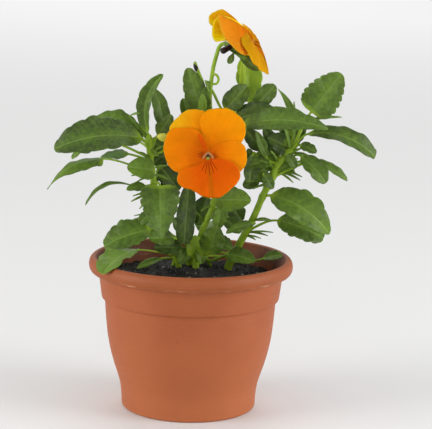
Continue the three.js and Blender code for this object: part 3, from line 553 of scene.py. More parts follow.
def livingLeafTissue():
    material, shader, add = newMaterial("living leaf tissue")
    place = add("TexCoord").outputs["Object"]
    side, along, _ = add("SeparateXYZ", [add("UVMap", uv_map="surface")]).outputs
    skin = add("Attribute", attribute_name="skin").outputs
    beneath, onStalk, atTip = add("SeparateColor", [skin["Color"]]).outputs
    patch, blotch = (add("TexNoise", {"Vector": place, "Scale": 1000 / leafTissue[name], "Detail": detail})
                     for name, detail in (("patch", 4), ("blotch", 3)))
    # blotched, and paler towards the midrib; the tone each piece carries sets it from dark to bright, and holds both
    # its own green and painted light and shade
    tone = add("Math", [patch, 0.45, skin["Alpha"]], "MULTIPLY_ADD")
    tone = add("Math", [blotch, 0.9, tone], "MULTIPLY_ADD")
    out = add("Math", [side], "ABSOLUTE")
    inner = add("MapRange", [out, 0, 0.6, -0.5, -0.78], interpolation_type="SMOOTHSTEP")
    tone = add("Math", [tone, inner], "ADD", use_clamp=True)
    colour, stalk = (add("Mix", {0: tone, 6: linear(leafTissue[dark]), 7: linear(leafTissue[bright])},
                         data_type="RGBA") for dark, bright in (("dark", "bright"), ("stalkBase", "stalk")))
    # side veins leave the midrib at a slant, left and right in turn
    left = add("Math", [side, 0], "LESS_THAN")
    across = add("Math", [out, 10], "MULTIPLY")
    phase = add("Math", [across, -foliage["veinSlant"], along], "MULTIPLY_ADD")
    phase = add("Math", [left, foliage["veinOffset"], phase], "MULTIPLY_ADD")
    phase = add("Math", [patch, 0.25, phase], "MULTIPLY_ADD")
    away = add("Math", [phase, 0.5], "PINGPONG")
    reach = add("Math", [away, foliage["veinSpacing"]], "MULTIPLY")
    width, midrib = leafTissue["veinWidth"], leafTissue["midribWidth"]
    vein = add("MapRange", [reach, width / 2, width * 2.2, 0.07, 0])
    rib = add("MapRange", [across, midrib / 2, midrib * 1.5, 0.32, 0])
    veined = add("Math", [vein, rib], "MAXIMUM")
    under = add("MapRange", [beneath, 0.5, 0.9, 0, 0.85])
    for share, other in ((veined, linear(leafTissue["vein"])), (under, linear(leafTissue["underside"])),
                         (onStalk, stalk), (atTip, linear(leafTissue["darkTip"]))):
        colour = add("Mix", {0: share, 6: colour, 7: other}, data_type="RGBA")
    gloss = add("MapRange", [patch, 0, 1, *leafTissue["roughness"]])
    cells = add("TexVoronoi", {"Vector": place, "Scale": 1000 / leafTissue["cell"]}, feature="SMOOTH_F1")
    sunk = add("Math", [vein, -0.8, cells], "MULTIPLY_ADD")
    bump = add("Bump", {"Height": sunk, "Strength": 0.45, "Distance": 0.3 * mm})
    # a blade lets some light through, most of all the green
    fillInputs(shader, {"Base Color": colour, "Roughness": gloss, "IOR": 1.42, "Specular IOR Level": 0.36,
                        "Subsurface Weight": 0.3, "Subsurface Radius": (0.5, 1, 0.12), "Subsurface Scale": 0.6 * mm,
                        "Normal": bump})
    return material


# Pansy petal: velvety from its tiny domed cells, pigment fanning out from the eye in fine streaks, dark nectar
# guides, and a paler yellow back
petalTissue = {
    # the second colour on the next line is the lower petal's band, partly painted shade in its groove
    "guide": "#6a2006", "streakAndShade": "#a85c04", "back": ("#d88a08", "#df960a", "#e39a0c"), "edge": "#ec9426",
    "sheenTint": "#ffb347", "roughness": 0.7, "sheen": 0.02, "specular": 0.03, "guideStep": 0.244,  # radians
    "patch": 25 / 3, "guideWidth": 0.3, "streakAndShadeWidth": 1.9,  # mm, as are the next
    "guideEnd": (7.2, 12), "guideStart": (2.6, 3.8), "bandStart": (4, 9),
}


def petalVelvet():
    material, shader, add = newMaterial("pansy petal")
    place = add("TexCoord").outputs["Object"]
    turn, far, _ = add("SeparateXYZ", [add("UVMap", uv_map="surface")]).outputs
    skin = add("Attribute", attribute_name="skin").outputs
    below = add("Attribute", attribute_name="below").outputs["Fac"]
    # fine streaks that run out from the eye and show most near it
    fan = add("CombineXYZ", [turn, far])
    fan = add("Mapping", {"Vector": fan, "Scale": (16, 0.7, 1)})
    fine = add("TexNoise", {"Vector": fan, "Scale": 1, "Detail": 4, "Roughness": 0.6})
    light = add("MapRange", [fine, 0.3, 0.7, 0.84, 1.1])
    calm = add("MapRange", [far, 0.5, 1.7, 0.1, 0.7])
    light = add("Mix", {0: calm, 2: light, 3: 1})
    patch = add("TexNoise", {"Vector": place, "Scale": 1000 / petalTissue["patch"], "Detail": 2})
    soft = add("MapRange", [patch, 0.3, 0.7, 0.93, 1.07])
    light = add("Math", [light, soft], "MULTIPLY")
    colour = add("VectorMath", {0: skin["Color"], "Scale": light}, "SCALE")
    # the lower petal's ochre band down its middle, along its groove: partly its own streak, partly painted shade in
    # the groove
    out = add("Math", [far, 10], "MULTIPLY")
    sine = add("Math", [turn], "SINE")
    across = add("Math", [sine, out], "MULTIPLY")
    across = add("Math", [across], "ABSOLUTE")
    ragged = add("Math", [fine, 2.4, across], "MULTIPLY_ADD")
    width = petalTissue["streakAndShadeWidth"]
    band = add("MapRange", [ragged, width * 0.8, width * 1.7, 0.6, 0])
    isLower = add("MapRange", [skin["Alpha"], 0.85, 0.98])
    begun = add("MapRange", [out, *petalTissue["bandStart"]])
    # nectar guides: dark lines near the eye, longer on the lower petal
    step = petalTissue["guideStep"]
    width = petalTissue["guideWidth"] / step
    line = add("Math", [turn, step], "DIVIDE")
    line = add("Math", [line, 0.5], "PINGPONG")
    line = add("Math", [line, out], "MULTIPLY")
    line = add("MapRange", [line, 0.5 * width, 1.3 * width, 0.75, 0])
    inner = add("Math", [turn], "ABSOLUTE")
    spread = add("MapRange", [inner, 0.5, 0.62, 1, 0])
    longest = add("MapRange", [isLower, 0, 1, *petalTissue["guideEnd"]])
    bent = add("Math", [inner, 4, out], "MULTIPLY_ADD")
    left = add("Math", [longest, bent], "SUBTRACT")
    ended = add("MapRange", [left, 0, 1.6])
    started = add("MapRange", [out, *petalTissue["guideStart"]])
    marked = add("Math", [skin["Alpha"], 0.5], "GREATER_THAN")
    for limit in (begun, isLower):
        band = add("Math", [band, limit], "MULTIPLY")
    for limit in (spread, ended, started, marked):
        line = add("Math", [line, limit], "MULTIPLY")
    rim = add("MapRange", [below, 0.15, 0.5, 0, 0.45])
    for share, name in ((band, "streakAndShade"), (line, "guide"), (rim, "edge")):
        colour = add("Mix", {0: share, 6: colour, 7: linear(petalTissue[name])}, data_type="RGBA")
    ridges = add("Bump", {"Height": fine, "Strength": 0.35, "Distance": 0.3 * mm})
    # a petal lets light through, most of all the red and yellow
    fillInputs(shader, {"Base Color": colour, "Roughness": petalTissue["roughness"], "Normal": ridges,
                        "Sheen Weight": petalTissue["sheen"], "Sheen Tint": linear(petalTissue["sheenTint"]),
                        "Sheen Roughness": 0.4, "Specular IOR Level": petalTissue["specular"], "IOR": 1.4,
                        "Subsurface Weight": 0.5, "Subsurface Radius": (1, 0.55, 0.12), "Subsurface Scale": 0.6 * mm})
    return material


# The heart of a bloom: a moist smooth yellow-green stigma, painted shade of the throat as a dark ball above it, and
# pale beard hair
def flowerFlesh(name, pale, deep, roughness):
    material, shader, add = newMaterial(name)
    place = add("TexCoord").outputs["Object"]
    patch = add("TexNoise", {"Vector": place, "Scale": 1000 / heart["patch"], "Detail": 3})
    colour = add("Mix", {0: patch, 6: linear(pale), 7: linear(deep)}, data_type="RGBA")
    bump = add("Bump", {"Height": patch, "Strength": 0.3, "Distance": 0.2 * mm})
    fillInputs(shader, {"Base Color": colour, "Roughness": roughness, "Normal": bump})
    return material


# A rolled bud: yellow petals still furled, green at the base, with lengthwise creases
budTissue = {"tip": "#d8cf4e", "base": "#a9b63c", "crease": "#8c9a2c", "roughness": 0.5}


def furledBud():
    material, shader, add = newMaterial("furled bud petals")
    uv = add("UVMap", uv_map="surface")
    colour = add("Mix", {0: add("SeparateXYZ", [uv]).outputs[1], 6: linear(budTissue["base"]),
                         7: linear(budTissue["tip"])}, data_type="RGBA")
    long = add("Mapping", {"Vector": uv, "Scale": (3, 1.2, 1)})
    crease = add("TexNoise", {"Vector": long, "Scale": 2, "Detail": 3})
    share = add("MapRange", [crease, 0.5, 0.75, 0, 0.7])
    colour = add("Mix", {0: share, 6: colour, 7: linear(budTissue["crease"])}, data_type="RGBA")
    bump = add("Bump", {"Height": crease, "Strength": 0.4, "Distance": 0.3 * mm})
    fillInputs(shader, {"Base Color": colour, "Roughness": budTissue["roughness"], "Normal": bump})
    return material


# the way of each stem, and its radius at foot and head
stems = {
    "left": ([(-6, 15, 70), (-8, 13, 84), (-14, 8, 100), (-19, 5, 118), (-23, 3, 134), (-25, 2, 148),
               (-26, 1, 160)], (1.9, 1.4)),
    "centre": ([(3, 13, 70), (3, 13, 84), (5, 11, 98), (8, 9, 108), (12, 8, 118), (15, 8, 135), (14, 10, 155),
                 (10, 12, 172)], (2.2, 1.3)),
    "right": ([(20, 18, 70), (23, 17, 82), (28.5, 13, 95), (35.5, 9, 110), (42, 6, 127), (46, 5, 136), (51, 4, 147),
                (57, 4, 153)], (2.5, 1.6)),
    "crown": ([(-2, 21, 70), (-0.7, 19, 84), (0.7, 17.3, 91), (1.6, 16.6, 96)], (2.4, 1.2)),
}


# root, heel and tip of a blade, the way it faces, its width, how far it bows up, teeth a side and tone from
# dark to bright, which holds both the leaf's own green and painted light and shade; more gives sweep aside, fold,
# twist, where it is widest (lean), how full its heel (blunt) and tip (round) are, and how much of it is as pale as a
# stalk
def leaf(root, heel, tip, face, width, bow=0, teeth=0, tone=0.5, **more):
    return dict(root=root, heel=heel, tip=tip, face=face, width=width, bow=bow, teeth=teeth, tone=tone, **more)


leaves = {"left": [
    # the head of the stem
    leaf((-25.5, 1.5, 151.5), (-30, -4, 160), (-80, -14, 154), (0, -0.75, 0.65), 24, 8, 5, 0.28, blunt=0.62, lean=0.9),
    leaf((-26, 1, 158), (-31, 4, 162), (-60, 10, 168), (0, -0.6, 0.8), 13, 6, 3),
    leaf((-26, 1, 159.3), (-27, 0, 163), (-18.5, -3, 197), (-0.3, -0.9, 0.2), 9, 0, 4, 0.35, sweep=-6, fold=30,
         lean=0.85, blunt=0.5, round=0.42),
    leaf((-25.8, 1.2, 156.5), (-18, 6, 164), (-24, 10, 187), (0.1, -1, 0.1), 10, 0, 2, 0.25, sweep=1.5),
    leaf((-25.2, 1.9, 149.5), (-21, 2, 161), (-13, 4, 173), (0.2, -0.9, 0.3), 9, 1, 2, 0.2),
    leaf((-25.2, 1.9, 149), (-24, 6, 157), (-13, 12, 146), (0, -0.8, 0.6), 13, 2, 2, 0.2),
    leaf((-24.6, 2.1, 141), (-24, 6, 143.5), (-13, 9, 152), (0, -0.95, 0.2), 12, 1, 2, 0.15),
    leaf((-25.5, 1.5, 153), (-34, 12, 157), (-64, 34, 155), (0, -0.3, 0.95), 17, 5, 2),
    leaf((-25.9, 1.1, 158), (-20, 15, 160), (-6, 42, 158), (0, 0.2, 0.95), 16, 4, 2),
    leaf((-25.6, 1.4, 155), (-30, 3, 158), (-38, 5, 163.5), (0.1, -0.9, 0.3), 7, 1, 2, 0.3),
    # the middle of the stem
    leaf((-25, 2, 147.5), (-56, 4, 156), (-71, 2, 146), (0, -0.5, 0.85), 8, 2, 2),
    leaf((-24.7, 2.1, 145), (-38, 5, 149), (-54, 7, 146.5), (0, 0.5, -0.8), 9, -2),
    leaf((-24, 2, 138), (-52, -6, 148), (-84, -14, 130.5), (-0.25, -0.35, 0.9), 12.5, 6, 3, 0.45, fold=-22, twist=-25,
         lean=0.5, blunt=0.85, round=1.3),
    leaf((-24, 2, 140), (-22, -5, 141), (-38, -12, 144), (0, -0.9, 0.4), 13.5, 2, 2, 0.85, blunt=0.5),
    leaf((-23, 2, 133), (-26.5, -3, 131), (-38.5, -6, 130), (0, -0.6, 0.8), 7.5, 1),
    leaf((-23, 2, 132), (-33, 1, 131), (-62.5, -4, 120), (-0.35, -0.2, 0.9), 6.5, 7, 2, 0.4, lean=1.5, round=0.5),
    leaf((-23, 2, 134), (-19, -9, 133), (-17.5, -24, 105), (0, -0.9, 0.4), 23.5, 3, 5, 0.42, lean=0.5, blunt=0.5,
         round=0.68),
    leaf((-22, 3, 128), (-19, 7, 142), (-8, 5, 128), (0, -0.9, 0.4), 13, 1, 2, 0.1),
    leaf((-22.6, 2.8, 131), (-17, 8, 135), (-10, 9, 118), (0, -0.95, 0.3), 10, 1, 2, 0.2),
    leaf((-17, 6, 112), (-24, -1, 116), (-31, -3, 109), (0, -0.9, 0.4), 7, 1, 0, 0.3),
], "centre": [
    # round the stem below the open bloom
    leaf((14, 8, 128), (-2, 0, 135), (-4.5, -6, 98), (0, -0.95, 0.3), 11.5, 3, 3, 0.05, lean=1.3, blunt=0.35,
         round=0.22),
    leaf((14, 8, 126), (12.5, -1, 124), (34, -8, 125.5), (0, -0.9, 0.45), 15.5, 1, 3, 0.62),
    leaf((12.5, 8, 120), (17, 2, 121), (15, 1.5, 106), (0.2, -0.9, 0.3), 9, 1, 2, 0.65),
    leaf((12.5, 8, 120), (18, 13, 124), (30, 14, 109), (0, -0.9, 0.4), 13, 2, 3, 0.2),
    leaf((14.5, 8, 130), (2, 20, 140), (-12, 42, 140), (0, 0.2, 0.95), 16, 5, 2),
    leaf((15, 8, 132), (17, 20, 132), (22, 42, 134), (0, 0.1, 0.98), 15, 5, 2),
    leaf((3.6, 12.4, 89), (10, 1, 92), (15, -4, 109), (0, -0.95, 0.3), 15, 1, 2, blunt=0.55, round=0.45),
    leaf((13, 8, 122), (9, 12, 124), (3, 14, 106), (0, -0.95, 0.3), 12, 1, 2, 0.1),
    leaf((9, 8.6, 111), (19, 6, 112), (29, 3, 104), (0, -0.85, 0.5), 9, 1, 2, 0.3),
    # behind and above the open bloom
    leaf((14, 10, 158), (28, -4, 169), (77, -12, 169), (0, -0.75, 0.65), 16, 7, 4, 0.42, lean=0.75, round=0.6),
    leaf((10, 12, 168), (7, 12, 167), (-4.5, 14, 199.5), (0, -0.98, 0.1), 14.5, 1, 5, 0.45, lean=0.9, blunt=0.6,
         round=0.5),
    leaf((11.4, 11.6, 165.5), (-3, 18, 169), (-7, 19, 181), (0, -0.98, 0.1), 7, 1, 0, 0.3),
    leaf((10.8, 11.8, 167.5), (5, 9, 174), (4.5, 8.5, 185), (0, -0.98, 0.1), 5, 0.5, 0, 1),
    leaf((9.5, 12.5, 187), (18, 10, 176), (31, 13, 190), (0, -0.95, 0.2), 13, 2, 2, 0.25, blunt=0.55),
    leaf((11.5, 11.5, 164.5), (24, 8, 170), (47, 6, 177), (0, -0.85, 0.5), 15, 2, 3, 0.15, blunt=0.55),
    leaf((10, 12, 171.5), (33.2, 27, 178), (31.2, 34, 206.4), (0, -0.98, 0.1), 16, 2, 3, 1.2, lean=1, blunt=0.55,
         round=0.45, pale=0.5),
    leaf((10, 12, 171.5), (28.4, 24, 184), (28.2, 26, 204.5), (-0.3, -0.95, 0.1), 4, 0, 0, 1, pale=1),
    leaf((10.8, 11.8, 167), (34, 11, 177), (47, 10, 191), (0, -0.95, 0.2), 11, 1, 3, 0.35, lean=1.3, blunt=0.45),
    leaf((13, 11, 162), (12, 24, 165), (10, 52, 152), (0, 0.2, 0.95), 18, 6, 2),
    leaf((13, 11, 160), (20, 20, 164), (37, 42, 166), (0, 0.1, 0.95), 16, 5, 2),
], "right": [
    # low on the stem
    leaf((34, 10, 106), (36, -1, 111), (20, -6, 105.5), (0, -0.6, 0.8), 7, 1, 0, 0.3),
    leaf((32, 11, 103), (50.4, 6, 111.3), (77.9, 2, 102.1), (0, -0.8, 0.6), 18.5, 3, 5, 0.45, blunt=0.5, round=0.42,
         lean=1.05),
    leaf((41, 6, 125), (46, 3, 127), (81, -4, 106), (0, -0.8, 0.6), 21, 9, 4, 0.55, round=0.62),
    leaf((41, 7, 126), (52, 22, 123), (66, 44, 109), (0.2, 0.4, 0.9), 17, 4, 2),
    # beside the open bloom
    leaf((45, 5, 137), (63, 3, 150.5), (78, -1, 135.5), (0.2, -0.85, 0.5), 12.5, 2, 2, 0.4, lean=1.1, blunt=0.5),
    leaf((58, 5, 146), (71, 7, 147), (91, 6, 136), (0.1, -0.6, 0.8), 7.5, 2, 0, 0.4, blunt=0.5),
    leaf((48, 4.6, 140.5), (45, 3, 146), (32, 1, 144), (0, -0.7, 0.7), 10, 2, 2, 0.3),
    leaf((46, 5, 138), (36, 4, 139), (32, 6, 154), (0.2, -0.95, 0.2), 7, 1, 0, 0.2),
    leaf((49.5, 4.2, 144.5), (43, 3, 149), (36, 0, 165), (0.1, -0.9, 0.3), 6, 1, 0, 0.4),
    leaf((48.5, 4.4, 141.5), (49, 7, 151), (41, 9, 167), (0, -0.9, 0.3), 8, 1, 2, 0.2),
    leaf((50, 4, 146), (51.3, 13, 151.5), (65.3, 12, 170.4), (0, -0.9, 0.4), 14, 2, 2, 0.25),
    leaf((47, 4.8, 138.5), (50, 2, 142), (60, 1, 146), (0, -0.7, 0.7), 5, 1),
    leaf((54, 4, 150.5), (59, 6, 153), (43, 4, 161), (0, -0.9, 0.4), 13, 1, 2, 0.15),
    leaf((45.5, 5, 136), (35, 3, 151), (33, 1, 134), (0.1, -0.95, 0.2), 10, 1, 2, 0.15),
    leaf((46.5, 5, 138), (49, 8, 142.5), (36.5, 9, 150.5), (0, -0.95, 0.3), 12, 1, 2, 0.75),
    leaf((56, 4, 151.8), (62, 9, 165), (43.5, 8, 150), (0, -0.95, 0.2), 12, 1, 2, 0.1),
    leaf((55, 4, 151), (58, 6, 153), (55.5, 7, 165), (0, -0.95, 0.2), 9, 1, 0, 0.7, pale=0.25),
    leaf((48, 4.7, 140), (59.5, 9, 140), (49.5, 9, 145), (0, 0.9, 0.3), 8, 1, 0, 0.6),
    leaf((43.5, 5.5, 131), (39, 7, 135.5), (29.5, 7, 131), (0, -0.95, 0.3), 8, 1, 2, 0.2),
    leaf((52, 4, 148), (53, 8, 152), (44, 9, 163), (0, -0.95, 0.3), 9, 1, 2, 0.2),
    leaf((49.5, 4.2, 144.5), (40, 9, 152.5), (30, 9, 165), (0, -0.95, 0.2), 10, 1, 2, 0.1),
    leaf((44, 5.4, 132), (45, 3, 137), (33, 4, 142), (0, -0.9, 0.4), 7.5, 1, 2, 0.45),
    leaf((44, 5.4, 132), (41, 1, 140), (47, 0, 131), (0.1, -0.9, 0.4), 6.5, 1, 2, 0.25),
    leaf((51, 4, 147), (54, 1, 152), (60, 0, 143.5), (0.1, -0.9, 0.4), 6.5, 1, 2, 0.3),
    # the head of the stem
    leaf((55, 4, 151), (66, 0, 164), (105.5, -7, 152.5), (0, -0.7, 0.72), 13, 9, 3, 0.3, blunt=0.55, round=0.3,
         lean=1.15),
    leaf((57, 4, 152), (67.9, 3, 176.4), (84.6, 1, 199.6), (-0.1, -0.98, 0.1), 22.6, 1, 6, 0.55, lean=0.6, blunt=0.5,
         round=0.5),
    leaf((56, 4, 152), (58.5, 6, 166), (48.5, 6, 189), (0, -0.95, 0.2), 4.4, sweep=2.5, round=0.9),
    leaf((52, 4, 148), (57, 15, 157), (58, 40, 167), (0, -0.3, 0.95), 16, 4, 2),
    leaf((56, 4, 151.8), (62, 3, 157), (72, 2, 153), (0, -0.8, 0.6), 7, 1, 2, 0.35),
], "crown": [
    leaf((0.5, 17.5, 90), (-24, -4, 106), (-51, -8, 96.4), (0, -0.7, 0.7), 19, 3, 5, 0.45, via=(-5, 5, 98), blunt=0.6,
         round=0.42),
    leaf((-0.8, 19.2, 83.5), (-32, -8, 95), (-50, -39, 87), (-0.2, -0.3, 0.93), 20, 3, 4, 0.8, via=(-2, 4, 88),
         lean=1.2, blunt=0.6, round=0.42),
    leaf((-0.6, 19, 84.5), (43, 10, 87.5), (54, 6, 90), (0, -0.6, 0.8), 8, 1, 0, 0.35, via=(20, 30, 88)),
    leaf((1, 17, 88), (21, 11, 90), (38, 6, 86.5), (0, -0.8, 0.6), 11, 1, 2, 0.6),
    leaf((0, 18, 87), (-5, 7, 93), (-22, 2, 94.5), (0, -0.8, 0.6), 11, 1, 2, 0.1),
    leaf((1.3, 16.8, 93.5), (-10, -2, 101), (-25, -10, 102), (0, -0.8, 0.6), 12, 1, 2, 0.4),
    leaf((-1, 19, 83), (-18, 10, 86), (-32, 2, 81.5), (0, -0.7, 0.7), 5, 1),
    leaf((0, 18, 88), (8, 34, 96), (12, 60, 97), (0, -0.1, 0.98), 17, 5, 2),
    leaf((-0.4, 18.5, 84), (-20, 32, 94), (-42, 46, 97), (0, -0.2, 0.98), 16, 4, 2),
    leaf((0.5, 17.5, 86), (3, 5, 87), (2, 3, 102), (0, -1, 0.1), 11, 1, 0, 1, pale=0.5, blunt=0.5),
    leaf((0, 18, 86), (-2, 6, 94), (-7, 2, 84.5), (0, -0.9, 0.3), 8, 1, 0, 0.4),
    leaf((1, 17, 90), (-2, 6, 103), (-11, 1, 112), (0, -0.95, 0.3), 10, 1, 2, 0.25),
    leaf((1.2, 17, 92), (5, 6, 95), (6, 3, 84.5), (0.2, -0.9, 0.3), 7, 1, 2, 0.6),
    leaf((1, 17, 89), (14, 8, 99), (24, 4, 94), (0.1, -0.8, 0.5), 9, 1, 2, 0.3),
]}

# foot, tip and width of each narrow lobe at the joints of a stem
stipules = {"left": [
    ((-23, 2, 138), (-36, -1, 137.5), 2.2), ((-23, 2, 137), (-33, -2, 134), 1.8), ((-22, 3, 127), (-36, 0, 122), 2.2),
    ((-22, 3, 127.5), (-35, -1, 125.5), 1.8), ((-22, 3, 126), (-31, -2, 118), 1.8),
    ((-18.5, 5, 113), (-37, 2, 110), 2.2), ((-18.5, 5, 114), (-34, 1, 113.5), 1.6),
    ((-18, 5, 110), (-28, 1, 109), 1.8), ((-18, 5, 111), (-32, 0, 107), 1.6), ((-26, 1, 158), (-37, 3, 171), 3),
    ((-31, 0, 174), (-38, 1, 172), 1.8), ((-26, 1, 154), (-20, -1, 149), 2.4), ((-25, 2, 146), (-31, -3, 152), 2.4),
    ((-25, 2, 150), (-16, -1, 156), 2.4), ((-24, 2, 141), (-15, -2, 144), 2.2), ((-23.5, 2, 138), (-14, -3, 136), 2.2),
    ((-21, 4, 124), (-12, -1, 121), 2.2),
], "centre": [
    ((9, 12.5, 184), (6, 11, 193), 2.6), ((8, 9.5, 107), (2, 6, 116), 2.4), ((12, 8, 118), (22, 3, 113), 2.6),
    ((8, 9.5, 108), (15, 3, 115), 2.4), ((12, 8, 119), (5, 2, 117), 2.2), ((9.4, 13, 189), (5.5, 12, 187), 1.6),
    ((9.4, 13, 190), (6, 12, 192.5), 1.6),
], "right": [
    ((36, 9, 110.5), (47, -1, 112.5), 3.4), ((32, 11, 103), (45, 5, 102.5), 1.8), ((32, 11, 103), (48, 5, 104.5), 1.4),
    ((31, 11, 101), (38, 6, 99.5), 1.8), ((31, 11, 101), (41, 6, 100.5), 1.4), ((45, 5, 135), (32, 1, 138), 2.6),
    ((45, 5, 134), (31, 0, 135.5), 2), ((44.5, 5, 133), (35, 0, 131), 2), ((45, 5, 138), (34, 2, 141), 2),
    ((50, 4, 141), (63, 2, 136.5), 2), ((50, 4, 142), (64, 2, 138.5), 2), ((49, 4, 141), (59, 1, 135), 1.8),
    ((51, 4, 146), (61, 0, 149.5), 2.2), ((48, 4.6, 142), (39, 0, 148), 2.4), ((50, 4, 145), (45, -1, 154), 2.4),
    ((53, 4, 149), (64, 1, 156), 2.4), ((57, 4, 152), (68, 2, 151), 2.2), ((58.5, 4.5, 159), (58, 6, 182), 2.4),
    ((57, 4, 153), (52, 2, 170), 2.4), ((66, 3.5, 171.5), (86, 4, 174), 2.8),
], "crown": [
    ((-0.5, 18.5, 86), (-4, 9, 90), 2.4), ((0, 18, 87), (7, 22, 92), 2.4), ((1, 17, 89), (6, 7, 98), 2.4),
    ((0.4, 17.6, 88), (-7, 8, 98), 2.4),
]}

# the way of each flower stalk, or other round stalk, and its radius
flowerStalks = {"left": [
    ([(-25, 2, 148), (-16, 4, 153), (-12, 2, 158), (-13.5, -1, 160)], 0.8),
], "centre": [
    ([(14.5, 9, 146), (16, 4, 160), (14, -6, 166), (10.3, -12.7, 161.5), (9.2, -14.4, 156.5),
      (8.74, -13.6, 152.3)], 1),
    ([(10, 12, 170), (9, 13, 182), (9.6, 13, 192), (10.8, 13.2, 201), (12.6, 14.5, 208), (14, 14, 212.4),
      (16.6, 13.4, 214.2), (19.4, 11.4, 213), (22.35, 10.7, 212)], 1.15),
    ([(9.8, 12.5, 196.5), (12.4, 11.5, 196), (13.8, 11, 193.5), (12.8, 11, 191), (9.8, 12, 190.4)], 0.7),
    ([(8, 13, 178), (5, 13.5, 190), (2.5, 13.5, 196), (1, 13.5, 199.5), (-0.2, 13.5, 202.5)], 0.9),
], "right": [
    ([(43.4, 5, 134.5), (49, 3.4, 138.6), (56, 2.8, 142.4), (66.5, 2.6, 147.4)], 0.85),
], "crown": [
    ([(-12, 20, 75.5), (-10, 18, 84), (-13, 14, 91), (-19.5, 8, 99)], 1),
    ([(12.5, 21, 75.5), (10, 19, 83.5), (5.5, 18, 87), (0.5, 18, 89)], 1.1),
    ([(10.3, 19.2, 82.5), (17, 16, 86), (24, 14, 89)], 0.8),
]}


# Leafy stems: skin holds underside, stalk, dark tip and tone

foliage = {
    "bladeThickness": 0.5, "petioleRadius": 0.85, "tipRadius": 0.35, "wave": 0.05, "fold": 14,
    "toothedFrom": 0.12, "toothedTo": 0.94, "toothCut": 0.17,
    "veinSpacing": 6.0, "veinSlant": 0.11, "veinOffset": 0.4, "quilting": 0.32, "midribDepth": 0.3, "frill": 0.07,
    "stalkFade": 0.1,  # the share of a blade over which its stalk flattens
    "stemSides": 14, "stemStep": 1.6,
    "broad": (-1, -0.94, -0.82, -0.66, -0.48, -0.3, -0.15, -0.05, 0.05, 0.15, 0.3, 0.48, 0.66, 0.82, 0.94, 1),
    "slim": (-1, -0.8, -0.45, -0.12, 0.12, 0.45, 0.8, 1), "broadFrom": 6,
}


def leafHalf(leaf, t, teeth):
    x = t ** leaf.get("lean", 0.82)
    outline = max(0, sin(pi * x)) ** (leaf.get("blunt", 0.72) if x < 0.5 else leaf.get("round", 0.5))
    notch = 0
    start, end = foliage["toothedFrom"], foliage["toothedTo"]
    if teeth and start < t < end:
        phase = (t - start) / (end - start) * teeth % 1
        notch = foliage["toothCut"] * (1 - sin(pi * phase ** 0.8) ** 0.4)
    least = foliage["petioleRadius"] * 0.8 if t < 0.5 else foliage["tipRadius"]
    return max(least, leaf["width"] / 2 * outline * (1 - notch))


# A leaf stalk is hollow above and round below
def stalkHeight(s, half, below):
    rest = 1 - s * s
    if below:
        return half * (-0.8 * sqrt(rest) - 0.35)
    return half * (0.75 * sqrt(rest) - 0.3 * rest ** 2 - 0.35)


# One closed cross-section of a blade or its stalk, upper face first
def leafSection(section, middle, aside, upward, half, height, far, marks):
    ring = []
    for s, below in [(s, 0) for s in section] + [(s, 1) for s in section[-2:0:-1]]:
        edge = 0.5 if abs(s) == 1 else below
        point = middle + aside * half * s + upward * height(s, half, below)
        ring.append((point, (s * half / 10, far), (edge, *marks)))
    return ring


def petioleRings(leaf, along, rise, section):
    root, heel = Vector(leaf["root"]), Vector(leaf["heel"])
    reach = (heel - root).length
    lead = Vector(leaf["via"]) if "via" in leaf else root.lerp(heel, 0.35) + Vector((0, 0, 0.06 * reach))
    follow = heel - along * 0.3 * reach
    aside = along.cross(rise).normalized()
    count = max(6, round(reach / 1.6))
    rings = []
    for k in range(count - 1, -1, -1):
        x = k / count
        y = 1 - x
        middle = root * y ** 3 + lead * 3 * y * y * x + follow * 3 * y * x * x + heel * x ** 3
        ahead = ((lead - root) * y * y + (follow - lead) * 2 * y * x + (heel - follow) * x * x).normalized()
        aside = (aside - ahead * aside.dot(ahead)).normalized()
        half = foliage["petioleRadius"] * (1.1 - 0.3 * x)
        rings.insert(0, leafSection(section, middle, aside, aside.cross(ahead), half, stalkHeight, -reach * y / 10,
                                    (1, 0, leaf["tone"])))
    return rings


